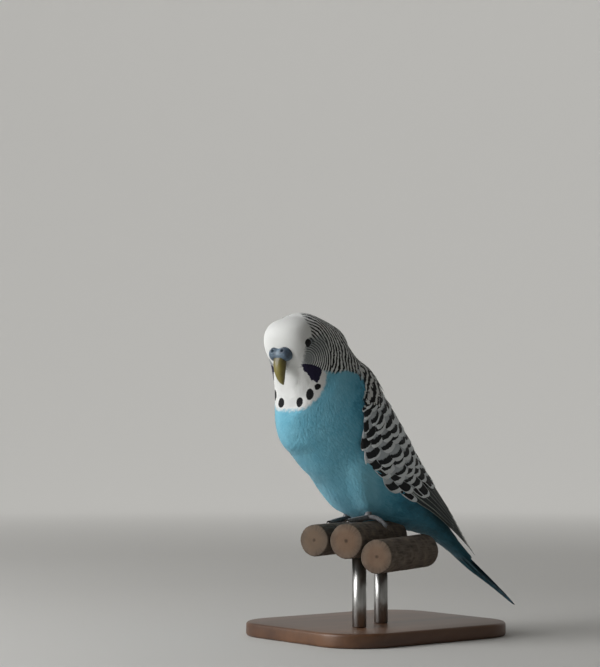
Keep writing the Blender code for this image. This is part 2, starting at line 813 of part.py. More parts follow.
def upper_bill(name, out=0.0):
    """The hooked upper bill, or a grown copy used as a cutter."""
    places = np.arange(len(CULMEN))
    at = np.linspace(0, len(CULMEN) - 1, 10)
    front, back = spline(places, CULMEN, at), spline(places, PALATE, at)
    widths = spline(places, BILL_HALF_WIDTHS, at)
    return loft(name, [bill_section(f, b, w, out=out) for f, b, w in zip(front, back, widths)])


def lower_bill(name):
    """The short lower bill, tucked behind the upper one."""
    rings = []
    angles = np.arange(12) * 2 * math.pi / 12
    for (fore, up), half_width in zip(CHIN_LINE, LOWER_BILL_HALF_WIDTHS):
        depth = LOWER_BILL_DEPTH / 2 * half_width / LOWER_BILL_HALF_WIDTHS[0]
        rings.append(
            [
                head_point(fore + depth + depth * math.cos(a), up, half_width * math.sin(a))
                for a in angles
            ]
        )
    return loft(name, rings)


def cere(name, out=0.0):
    """The fleshy pad over the bill's base, with a nostril in each lobe."""
    parts = []
    for fore, up, side, across, deep, high in CERE_LOBES:
        for way in (-1.0, 1.0) if side else (1.0,):
            centre = head_point(fore - 0.9, up, way * side)
            parts.append(
                ball(f"{name}_lobe", centre, (across + out, deep + out, high + out), turn=HEAD_YAW)
            )
    return combine(parts[0], parts[1:], "UNION")


def nostril_cutters():
    """Short rods that open the two nostrils."""
    made = []
    for way in (-1.0, 1.0):
        inner = head_point(12.6, 0.2, way * NOSTRIL_SIDE)
        outer = head_point(16.4, 1.1, way * (NOSTRIL_SIDE + 0.4))
        made.append(rod("nostril", inner, outer, NOSTRIL_RADIUS, 10))
    return made


def head_and_face(materials):
    """The head with lids and sockets, the eyes, the cere and both halves of the bill."""
    head = loft("head", body_rings(0.0, HEAD_END))
    combine(head, [eyelid_ring(side) for side in (-1, 1)], "UNION")
    combine(head, [eye_ball("socket", side, GAP) for side in (-1, 1)], "DIFFERENCE")
    head.data.materials.append(materials["face"])
    for side, word in ((1, "left"), (-1, "right")):
        eye = eye_ball(f"eye_{word}", side)
        eye.data.materials.append(materials["eye"])
    upper = upper_bill("bill_upper")
    combine(upper, [body_cutter(0.0, HEAD_END)], "DIFFERENCE")
    upper.data.materials.append(materials["horn"])
    lower = lower_bill("bill_lower")
    combine(lower, [body_cutter(0.0, HEAD_END)], "DIFFERENCE")
    combine(lower, [upper_bill("bill_cutter", GAP)], "DIFFERENCE")
    lower.data.materials.append(materials["horn"])
    pad = cere("cere")
    combine(pad, [body_cutter(0.0, HEAD_END)], "DIFFERENCE")
    combine(pad, [upper_bill("bill_cutter", GAP)], "DIFFERENCE")
    combine(pad, nostril_cutters(), "DIFFERENCE")
    pad.name = "cere"
    pad.data.materials.append(materials["cere"])


def body_and_legs(materials):
    """Neck, torso, thighs and feet."""
    neck = loft("neck", body_rings(HEAD_END, NECK_END, shift=GAP))
    neck.data.materials.append(materials["plumage"])
    torso = loft("torso", body_rings(NECK_END, LAST_SECTION, shift=GAP))
    combine(torso, log_cutters(), "DIFFERENCE")
    for side, word in ((1, "left"), (-1, "right")):
        foot(f"foot_{word}", side, materials["foot"])
        upper_leg = thigh(f"thigh_{word}", side)
        combine(upper_leg, [body_cutter(NECK_END - 1.0, LAST_SECTION)], "DIFFERENCE")
        combine(upper_leg, log_cutters(), "DIFFERENCE")
        combine(upper_leg, foot_parts(side, GAP + 0.05), "DIFFERENCE")
        upper_leg.data.materials.append(materials["plumage"])
        combine(torso, foot_parts(side, GAP + 0.05), "DIFFERENCE")
    torso.data.materials.append(materials["plumage"])


def stand(materials):
    """The flat base and the two rods under the middle log."""
    width, depth, height = BASE_SIZE
    outline = []
    for corner, (sx, sy) in enumerate(((1, 1), (-1, 1), (-1, -1), (1, -1))):
        for step in range(9):
            angle = (corner + step / 8) * math.pi / 2
            outline.append(
                (
                    sx * (width / 2 - BASE_CORNER) + BASE_CORNER * math.cos(angle),
                    sy * (depth / 2 - BASE_CORNER) + BASE_CORNER * math.sin(angle),
                )
            )
    outline = np.array(outline)
    inset = outline * (1 - 2 * BASE_EDGE / np.array([width, depth]))
    layers = ((inset, 0.0), (outline, BASE_EDGE), (outline, height - BASE_EDGE), (inset, height))
    base = loft("stand_base", [np.column_stack([o, np.full(len(o), z)]) for o, z in layers])
    base.data.materials.append(materials["stand"])
    near, far = log_ends(1)
    for k, share in enumerate(ROD_STEPS, 1):
        place = near + (far - near) * share
        foot_end = np.array([place[0], place[1], height + GAP])
        top_end = np.array([place[0], place[1], place[2]])
        post = rod(f"stand_rod_{k}", foot_end, top_end, ROD_RADIUS, 20)
        combine(post, log_cutters(), "DIFFERENCE")
        post.data.materials.append(materials["brass"])


def main():
    """Build the bird, its perch and its stand."""
    clear_scene()
    materials = {
        "face": make_material("white_plumage", (0.86, 0.86, 0.84), 0.8),
        "plumage": make_material("blue_plumage", (0.12, 0.42, 0.55), 0.8),
        "wing": make_material("barred_plumage", (0.35, 0.36, 0.36), 0.75),
        "tail": make_material("tail_plumage", (0.03, 0.16, 0.26), 0.6),
        "eye": make_material("eye", (0.01, 0.01, 0.01), 0.1),
        "cere": make_material("cere_skin", (0.16, 0.22, 0.32), 0.5),
        "horn": make_material("bill_horn", (0.45, 0.40, 0.15), 0.4),
        "foot": make_material("foot_skin", (0.42, 0.40, 0.42), 0.7),
        "wood": make_material("log_wood", (0.36, 0.26, 0.18), 0.85),
        "stand": make_material("stand_wood", (0.30, 0.20, 0.12), 0.5),
        "brass": make_material("stand_metal", (0.55, 0.52, 0.47), 0.35, 1.0),
    }
    head_and_face(materials)
    body_and_legs(materials)
    wing("wing_left", 1.0, materials["wing"])
    wing("wing_right", -1.0, materials["wing"])
    tail("tail", materials["tail"])
    for log in range(len(LOGS)):
        made = log_solid(f"perch_log_{log + 1}", log)
        made.data.materials.append(materials["wood"])
    stand(materials)


if __name__ == "__main__":
    main()
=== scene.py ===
"""A sky-blue budgerigar on three cut logs, dressed in feathers over its solids.

Lengths are in millimetres until a mesh is made. The bird faces -Y, its left side
is +X, and the origin is the middle of the underside of the stand's base.
"""

import logging
import math
from dataclasses import dataclass
from enum import Enum
from typing import Callable, Sequence

import bpy
import numpy as np
from mathutils import Matrix, Vector


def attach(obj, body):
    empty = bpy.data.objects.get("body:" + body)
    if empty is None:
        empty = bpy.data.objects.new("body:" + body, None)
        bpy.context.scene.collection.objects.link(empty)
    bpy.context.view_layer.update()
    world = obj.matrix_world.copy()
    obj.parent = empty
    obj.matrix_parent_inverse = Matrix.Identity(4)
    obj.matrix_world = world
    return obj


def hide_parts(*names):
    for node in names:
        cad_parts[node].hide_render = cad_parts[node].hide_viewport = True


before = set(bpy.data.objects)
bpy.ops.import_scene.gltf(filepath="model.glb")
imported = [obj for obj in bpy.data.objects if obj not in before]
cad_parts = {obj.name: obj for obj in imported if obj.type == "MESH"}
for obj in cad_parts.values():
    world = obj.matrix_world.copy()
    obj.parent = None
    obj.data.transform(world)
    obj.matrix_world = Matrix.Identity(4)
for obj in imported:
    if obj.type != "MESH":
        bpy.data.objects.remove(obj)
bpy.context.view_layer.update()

LOG = logging.getLogger("budgerigar")
MM = 0.001
ROOT = "root"
SEED = 20751

MATH, MIX, RANGE = "ShaderNodeMath", "ShaderNodeMix", "ShaderNodeMapRange"
NOISE, BUMP, MAPPING = "ShaderNodeTexNoise", "ShaderNodeBump", "ShaderNodeMapping"
PLACE = ("place", "ShaderNodeTexCoord", {}, {"out": "Object"})
TIMES, MINUS = {"operation": "MULTIPLY"}, {"operation": "SUBTRACT"}
TIMES_PLUS, SINE = {"operation": "MULTIPLY_ADD"}, {"operation": "SINE"}
COLOUR = {"out": 2, "data_type": "RGBA"}
SOFT = {"interpolation_type": "SMOOTHSTEP"}
# Farther than any rim of a feather, and longer than any dark band
FAR, ENDLESS = 9.0, 99.0

Material = bpy.types.Material
Tree = bpy.types.NodeTree
Random = np.random.Generator
Places = np.ndarray | float
Surface = Callable[[Places, Places, Places], np.ndarray]


class Side(Enum):
    """A side of the bird, as the sign of X."""

    LEFT = 1.0
    RIGHT = -1.0

    @property
    def word(self) -> str:
        """The side in a node's name."""
        return self.name.lower()


def linear(hex_colour: str, alpha: float = 1.0) -> tuple[float, float, float, float]:
    """Turn an sRGB hex colour into linear values.

    Args:
        hex_colour: # and six hex digits.
        alpha: The fourth value.

    Returns:
        Red, green, blue and alpha for a socket.
    """
    found = []
    for start in (1, 3, 5):
        share = int(hex_colour[start : start + 2], 16) / 255
        found.append(share / 12.92 if share <= 0.04045 else ((share + 0.055) / 1.055) ** 2.4)
    return found[0], found[1], found[2], alpha


def add_node(
    tree: Tree, kind: str, inputs: dict | None = None, out: int | str = 0, **settings: object
) -> bpy.types.NodeSocket:
    """Add a node, set it up and link its inputs.

    Args:
        tree: The node tree.
        kind: The node's type name.
        inputs: Socket name or number to a value or to another node's output.
        out: The output to hand back.
        **settings: Attributes of the node.

    Returns:
        The chosen output socket.
    """
    made = tree.nodes.new(kind)
    for key, value in settings.items():
        setattr(made, key, value)
    for key, value in (inputs or {}).items():
        if isinstance(value, bpy.types.NodeSocket):
            tree.links.new(value, made.inputs[key])
        else:
            made.inputs[key].default_value = value
    return made.outputs[out]


def add_rows(tree: Tree, rows: Sequence, known: dict) -> dict:
    """Add a table of nodes.

    Args:
        tree: The node tree.
        rows: A node's name here, kind, inputs and settings in each. An input that is a
            name is linked to that node, or is a colour where it starts with #.
        known: Names to outputs that the tree has already.

    Returns:
        All the names to their outputs.
    """
    known = dict(known)
    for name, kind, inputs, *settings in rows:
        inputs = {key: looked_up(value, known) for key, value in inputs.items()}
        known[name] = add_node(tree, kind, inputs, **(settings[0] if settings else {}))
    return known


def looked_up(value: object, known: dict) -> object:
    """The output or the colour that a name stands for, or the value itself."""
    if not isinstance(value, str):
        return value
    return linear(value) if value.startswith("#") else known[value]


def new_material(name: str, reads: str, rows: Sequence, shader: dict) -> Material:
    """Make a material from a table of nodes.

    Args:
        name: The material's name.
        reads: The attributes that it reads, parted by spaces.
        rows: The table, as add_rows takes it.
        shader: The shader's inputs, given as a row's are.

    Returns:
        The new material.
    """
    made = bpy.data.materials.new(name)
    made.use_nodes = True
    tree = made.node_tree
    known = {
        read: add_node(tree, "ShaderNodeAttribute", out="Fac", attribute_name=read)
        for read in reads.split()
    }
    known = add_rows(tree, rows, known)
    for key, value in shader.items():
        value, socket = looked_up(value, known), tree.nodes["Principled BSDF"].inputs[key]
        if isinstance(value, bpy.types.NodeSocket):
            tree.links.new(value, socket)
        else:
            socket.default_value = value
    return made


def spline(places: Sequence, values: Sequence, at: np.ndarray) -> np.ndarray:
    """Read a smooth curve through known values.

    Args:
        places: Where the values are known, rising or falling.
        values: The known values, one row a place.
        at: Where to read the curve.

    Returns:
        The values there.
    """
    places, values, at = (np.asarray(v, float) for v in (places, values, at))
    if places[0] > places[-1]:
        places, values = places[::-1], values[::-1]
    slopes = np.gradient(values, places, axis=0)
    at = np.clip(at, places[0], places[-1])
    k = np.clip(np.searchsorted(places, at, side="right") - 1, 0, len(places) - 2)
    step = places[k + 1] - places[k]
    s = (at - places[k]) / step
    if values.ndim > 1:
        s, step = s[..., None], step[..., None]
    return (
        (2 * s**3 - 3 * s**2 + 1) * values[k]
        + (s**3 - 2 * s**2 + s) * step * slopes[k]
        + (3 * s**2 - 2 * s**3) * values[k + 1]
        + (s**3 - s**2) * step * slopes[k + 1]
    )


def smooth(low: float, high: float, value: np.ndarray) -> np.ndarray:
    """An S-shaped rise from 0 at low to 1 at high."""
    share = np.clip((np.asarray(value, float) - low) / (high - low), 0.0, 1.0)
    return share * share * (3 - 2 * share)


def unit(vector: np.ndarray) -> np.ndarray:
    """The vector, or each row of it, at length 1."""
    vector = np.asarray(vector, float)
    return vector / np.maximum(np.linalg.norm(vector, axis=-1, keepdims=True), 1e-12)


def turns(count: int) -> np.ndarray:
    """Evenly spaced angles once round, in radians."""
    return np.arange(count) * 2 * math.pi / count


def from_back(theta: np.ndarray) -> np.ndarray:
    """Angles from the middle of the back, alike on both sides, in radians."""
    return np.abs((theta + np.pi) % (2 * np.pi) - np.pi)


def alike(*values: Places) -> list[np.ndarray]:
    """Numbers and arrays as arrays of one shape."""
    return np.broadcast_arrays(*(np.asarray(value, float) for value in values))


def ball_rays(polar: np.ndarray, sides: int) -> np.ndarray:
    """Directions from a ball's middle, ring by ring at angles from its pole.

    Args:
        polar: Each ring's angle from the pole.
        sides: The points in a ring.

    Returns:
        One direction a point.
    """
    ring, angle = np.sin(polar)[:, None], turns(sides)
    rise = np.repeat(np.cos(polar)[:, None], sides, 1)
    return np.stack([ring * np.cos(angle), ring * np.sin(angle), rise], -1)


def polygon_distance(points: np.ndarray, corners: np.ndarray) -> np.ndarray:
    """Signed distance to a closed outline in a plane.

    Args:
        points: Places, two numbers each.
        corners: The outline's corners in order.

    Returns:
        Distance to the outline, above 0 inside.
    """
    corners = np.asarray(corners, float)
    best = np.full(len(points), np.inf)
    inside = np.zeros(len(points), bool)
    for a, b in zip(corners, np.roll(corners, -1, axis=0)):
        edge = b - a
        rel = points - a
        share = np.clip(rel @ edge / (edge @ edge), 0.0, 1.0)
        best = np.minimum(best, np.linalg.norm(rel - share[:, None] * edge, axis=1))
        crosses = (a[1] > points[:, 1]) != (b[1] > points[:, 1])
        height = edge[1] if abs(edge[1]) > 1e-9 else 1e-9
        reach = a[0] + (points[:, 1] - a[1]) * edge[0] / height
        inside ^= crosses & (points[:, 0] < reach)
    return np.where(inside, best, -best)


def linked(name: str, data: bpy.types.ID) -> bpy.types.Object:
    """Make an object and put it in the scene."""
    made = bpy.data.objects.new(name, data)
    bpy.context.scene.collection.objects.link(made)
    return made


def mesh_piece(
    name: str,
    points: np.ndarray,
    faces: Sequence[np.ndarray],
    material: Material,
    maps: dict[str, np.ndarray] | None = None,
    fields: dict[str, np.ndarray] | None = None,
    soften: tuple[np.ndarray, np.ndarray] | None = None,
) -> bpy.types.Object:
    """Make a mesh object at the origin from arrays.

    Args:
        name: The piece's name.
        points: Places in millimetres.
        faces: Arrays of corner numbers, one array for each number of corners.
        material: The piece's material.
        maps: UV map name to one pair for each point, or for each face corner.
        fields: Attribute name to one number for each point.
        soften: Directions that the points' normals lean to, and how far, from 0 to 1.

    Returns:
        The new object.
    """
    mesh = bpy.data.meshes.new(name)
    faces = [np.asarray(f, np.int32) for f in faces if len(f)]
    corners = np.concatenate([f.ravel() for f in faces])
    totals = np.concatenate([np.full(len(f), f.shape[1], np.int32) for f in faces])
    mesh.vertices.add(len(points))
    mesh.vertices.foreach_set("co", (np.asarray(points, float) * MM).astype(np.float32).ravel())
    mesh.loops.add(len(corners))
    mesh.loops.foreach_set("vertex_index", corners)
    mesh.polygons.add(len(totals))
    mesh.polygons.foreach_set(
        "loop_start", np.concatenate([[0], np.cumsum(totals)[:-1]]).astype(np.int32)
    )
    mesh.polygons.foreach_set("use_smooth", np.full(len(totals), True))
    mesh.update(calc_edges=True)
    for map_name, pairs in (maps or {}).items():
        layer = mesh.uv_layers.new(name=map_name)
        pairs = np.asarray(pairs, np.float32)
        if len(pairs) == len(points):
            pairs = pairs[corners]
        layer.data.foreach_set("uv", pairs.ravel())
    for field_name, values in (fields or {}).items():
        layer = mesh.attributes.new(field_name, "FLOAT", "POINT")
        layer.data.foreach_set("value", np.asarray(values, np.float32))
    if soften is not None:
        own = np.empty(len(points) * 3, np.float32)
        mesh.vertex_normals.foreach_get("vector", own)
        share = soften[1][:, None]
        leant = unit(own.reshape(-1, 3) * (1 - share) + soften[0] * share)
        mesh.normals_split_custom_set_from_vertices(leant.tolist())
    mesh.materials.append(material)
    return linked(name, mesh)


def outward(surface: Surface, at: np.ndarray, across: np.ndarray) -> np.ndarray:
    """The outward normals of a chart's surface at places on it.

    Args:
        surface: The chart.
        at: Places along it.
        across: Places across it.

    Returns:
        One direction a place.
    """
    step = 0.02
    first = surface(at + step, across, 0.0) - surface(at - step, across, 0.0)
    second = surface(at, across + step, 0.0) - surface(at, across - step, 0.0)
    normal = unit(np.cross(first, second))
    up = surface(at, across, 1.0) - surface(at, across, 0.0)
    return normal * np.sign((normal * up).sum())


def declare(piece: bpy.types.Object, slot: str, *nodes: str) -> None:
    """Say what a piece rides on, and hide the nodes that it stands for.

    Args:
        piece: The piece.
        slot: Its material slot; not used.
        *nodes: The CAD nodes that it takes the place of.
    """
    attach(piece, ROOT)
    if nodes:
        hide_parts(*nodes)
    LOG.info("%s: %d faces", piece.name, len(piece.data.polygons))


def ring_faces(count: int, sides: int, closed: bool = False) -> np.ndarray:
    """Quads of a tube over rings, as rows of corner numbers.

    Args:
        count: How many rings.
        sides: The points in each.
        closed: True where the last ring meets the first.

    Returns:
        Four numbers a row.
    """
    i = np.arange(count if closed else count - 1)[:, None]
    j = np.arange(sides)[None, :]
    k, n = (j + 1) % sides, (i + 1) % count
    quads = np.stack([i * sides + j, i * sides + k, n * sides + k, n * sides + j], -1)
    return quads.reshape(-1, 4)


def loft_arrays(rings: np.ndarray) -> tuple[np.ndarray, list[np.ndarray]]:
    """Points and faces of a closed loft that faces outwards.

    Args:
        rings: Ring by ring, point by point, the places.

    Returns:
        The points, and the quads and end triangles.
    """
    count, sides = rings.shape[:2]
    points = np.concatenate([rings.reshape(-1, 3), rings[0].mean(0)[None], rings[-1].mean(0)[None]])
    j = np.arange(sides)
    k = (j + 1) % sides
    low, high, last = count * sides, count * sides + 1, (count - 1) * sides
    first_fan = np.stack([np.full(sides, low), k, j], -1)
    last_fan = np.stack([np.full(sides, high), last + j, last + k], -1)
    quads, fans = ring_faces(count, sides), np.concatenate([first_fan, last_fan])
    a, b, c, d = (points[quads[:, n]] for n in range(4))
    around = np.einsum("ij,ij->i", np.cross(b - a, c - a), a).sum()
    around += np.einsum("ij,ij->i", np.cross(c - a, d - a), a).sum()
    if around < 0:
        quads, fans = quads[:, ::-1], fans[:, ::-1]
    return points, [quads, fans]


@dataclass(frozen=True)
class BodyForm:
    """The bird's body as one surface, from the face to the root of the tail.

    A place on it is a section number and an angle from the back. The sections'
    numbers are those of the solids.
    """

    pitch: float = math.radians(50.0)
    head_yaw: float = math.radians(16.0)
    head_bow: float = math.radians(18.0)
    perch_point: tuple[float, float, float] = (0.0, -6.0, 52.0)
    head_centre: tuple[float, float] = (82.1, 16.7)
    head_pivot_behind: float = 5.0
    head_sections: tuple = (
        (11.8, 2.4, 10.2, -8.2, 4.5, 0.0, 1.0),
        (11.4, 6.0, 8.4, -10.6, 7.7, 0.1, 1.0),
        (8.9, 9.2, 8.0, -13.4, 9.8, 0.25, 1.0),
        (4.4, 11.0, 8.9, -17.2, 11.0, 0.34, 1.0),
        (-1.6, 11.6, 10.2, -21.4, 12.0, 0.34, 1.0),
        (-8.7, 11.5, 11.4, -25.6, 13.6, 0.3, 0.9),
    )
    body_sections: tuple = (
        (74.4, 38.8, 60.0, -8.4, 15.4, 0.18, 0.7),
        (67.0, 37.6, 54.5, -11.8, 16.9, 0.1, 0.4),
        (58.0, 36.4, 49.0, -12.9, 18.4, 0.05, 0.15),
        (49.0, 36.1, 43.0, -11.7, 19.8, 0.0, 0.0),
        (38.0, 35.7, 34.0, -10.7, 20.4, 0.0, 0.0),
        (26.0, 35.0, 25.0, -8.6, 20.4, 0.0, 0.0),
        (14.0, 34.3, 14.0, -7.2, 19.6, 0.0, 0.0),
        (3.0, 33.6, 3.0, -4.8, 18.0, 0.0, 0.0),
        (-7.0, 32.9, -7.0, 1.0, 15.6, 0.0, 0.0),
        (-16.0, 32.4, -16.0, 9.0, 12.6, 0.0, 0.0),
        (-24.0, 31.9, -24.0, 16.5, 9.8, 0.0, 0.0),
        (-32.0, 31.8, -32.0, 22.0, 7.6, 0.0, 0.0),
        (-40.0, 32.0, -40.0, 25.8, 6.0, 0.0, 0.0),
    )
    # Past the torso the coat runs on over the root of the tail.
    coat_sections: tuple = (
        (-48.0, 32.9, -48.0, 28.6, 4.7, 0.0, 0.0),
        (-57.0, 34.2, -57.0, 31.4, 3.7, 0.0, 0.0),
    )
    torso_end: float = 18.0
    thigh_top: tuple[float, float] = (10.4, 120.0)
    thigh_end: tuple[float, float] = (12.75, 147.0)
    thigh_rise: float = 2.1
    thigh_reach: float = 4.6
    nape_rise: float = 1.8
    crown_dip: float = 1.0
    # Below section 0 the rings shrink onto the front of the head.
    front_shrink: float = 0.6
    front_dome: float = 0.5

    def to_sagittal(self, along: float, out: float) -> tuple[float, float]:
        """(y, z) of a place in the body frame."""
        y = self.perch_point[1] + out * math.sin(self.pitch) - along * math.cos(self.pitch)
        z = self.perch_point[2] + out * math.cos(self.pitch) + along * math.sin(self.pitch)
        return y, z

    def head_to_sagittal(self, fore: float, up: float) -> tuple[float, float]:
        """(y, z) of a place in the level head frame, before the head's turn."""
        c, s = math.cos(self.head_bow), math.sin(self.head_bow)
        y, z = self.to_sagittal(*self.head_centre)
        return y - (fore * c + up * s), z + up * c - fore * s

    def to_head(self, points: np.ndarray) -> np.ndarray:
        """Fore, up and side in the level head frame, of places before the turn.

        Args:
            points: Places before the head's turn.

        Returns:
            Three numbers a place.
        """
        y, z = self.to_sagittal(*self.head_centre)
        fore, up = y - points[..., 1], points[..., 2] - z
        c, s = math.cos(self.head_bow), math.sin(self.head_bow)
        return np.stack([fore * c - up * s, fore * s + up * c, points[..., 0]], -1)

    def turned(self, points: np.ndarray, share: np.ndarray | float) -> np.ndarray:
        """Places turned with the head, by a share of its turn.

        Args:
            points: Places before the turn.
            share: The share of the turn that each one takes.

        Returns:
            The places.
        """
        points = np.array(points, float)
        pivot = self.head_to_sagittal(0.0, 0.0)[0] + self.head_pivot_behind
        angle = self.head_yaw * np.asarray(share)
        x, y = points[..., 0].copy(), points[..., 1] - pivot
        points[..., 0] = x * np.cos(angle) - y * np.sin(angle)
        points[..., 1] = pivot + x * np.sin(angle) + y * np.cos(angle)
        return points

    def head_point(self, fore: Places, up: Places, side: Places) -> np.ndarray:
        """One place or many of the level head frame, in the part's frame."""
        return self.turned(np.stack([side, *self.head_to_sagittal(fore, up)], -1), 1.0)

    def table(self) -> np.ndarray:
        """Sections as dorsal y and z, ventral y and z, width, rise and turn.

        Returns:
            One row a section.
        """
        rows = [
            (*self.head_to_sagittal(*r[0:2]), *self.head_to_sagittal(*r[2:4]), *r[4:])
            for r in self.head_sections
        ]
        rows += [
            (*self.to_sagittal(*r[0:2]), *self.to_sagittal(*r[2:4]), *r[4:])
            for r in self.body_sections + self.coat_sections
        ]
        return np.array(rows)

    def thigh_swell(self, t: np.ndarray, theta: np.ndarray) -> np.ndarray:
        """How far the thigh raises the surface at a place.

        Args:
            t: Section numbers.
            theta: Angles from the back, in radians.

        Returns:
            Millimetres.
        """
        a, b = np.array(self.thigh_top), np.array(self.thigh_end)
        scale = np.array([11.0, 0.34])
        way = (b - a) * scale
        length = np.linalg.norm(way)
        degrees = np.degrees(from_back(theta))
        rel = np.stack([t - a[0], degrees - a[1]], -1) * scale
        along = rel @ way / length
        beside = rel[..., 0] * way[1] / length - rel[..., 1] * way[0] / length
        start, stop = smooth(-4.0, 9.0, along), 1 - smooth(length - 4.0, length + 6.0, along)
        return self.thigh_rise * np.exp(-((beside / self.thigh_reach) ** 2)) * start * stop

    def relief(self, t: np.ndarray, theta: np.ndarray) -> np.ndarray:
        """How far the plumage stands over the sections: thighs, full nape, flat crown.

        Args:
            t: Section numbers.
            theta: Angles from the back, in radians.

        Returns:
            Millimetres.
        """
        degrees = np.degrees(from_back(theta))
        nape = self.nape_rise * np.exp(-(((t - 8.9) / 1.25) ** 2))
        crown = self.crown_dip * np.exp(-(((t - 4.8) / 1.1) ** 2))
        nape = nape * (1 - smooth(35.0, 75.0, degrees))
        crown = crown * (1 - smooth(40.0, 85.0, degrees))
        return self.thigh_swell(t, theta) + nape - crown

    def unturned(self, t: Places, theta: Places, out: Places) -> tuple[np.ndarray, np.ndarray]:
        """Places before the head's turn, and the share of it each one takes.

        Args:
            t: Section numbers.
            theta: Angles from the back, in radians.
            out: Heights over the surface, in millimetres.

        Returns:
            The places and the shares.
        """
        t, theta, out = alike(t, theta, out)
        rows = self.table()
        row = spline(np.arange(len(rows)), rows, t)
        out = out + self.relief(t, theta)
        chord = np.stack([row[..., 0] - row[..., 2], row[..., 1] - row[..., 3]], -1)
        length = np.linalg.norm(chord, axis=-1)
        way = chord / length[..., None]
        shrink = 1 + self.front_shrink * np.clip(t, -1.5, 0.0)
        dome = self.front_dome * (1 - shrink**2)
        height = (np.cos(theta) + row[..., 5] * np.sin(theta) ** 2) * (length / 2 + out)
        points = np.stack(
            [
                (row[..., 4] + out) * np.sin(theta) * shrink,
                (row[..., 0] + row[..., 2]) / 2 + way[..., 0] * height * shrink - way[..., 1] * dome,
                (row[..., 1] + row[..., 3]) / 2 + way[..., 1] * height * shrink + way[..., 0] * dome,
            ],
            -1,
        )
        return points, row[..., 6]

    def surface(self, t: Places, theta: Places, out: Places) -> np.ndarray:
        """Places on the body at a height over it, with the head turned."""
        return self.turned(*self.unturned(t, theta, out))

    def along_back(self, t: np.ndarray) -> np.ndarray:
        """The body frame's length coordinate at a section, on the back."""
        known = [75.0 + 6.0 * (6 - n) for n in range(6)]
        known += [row[0] for row in self.body_sections + self.coat_sections]
        return np.interp(t, np.arange(len(known)), known)


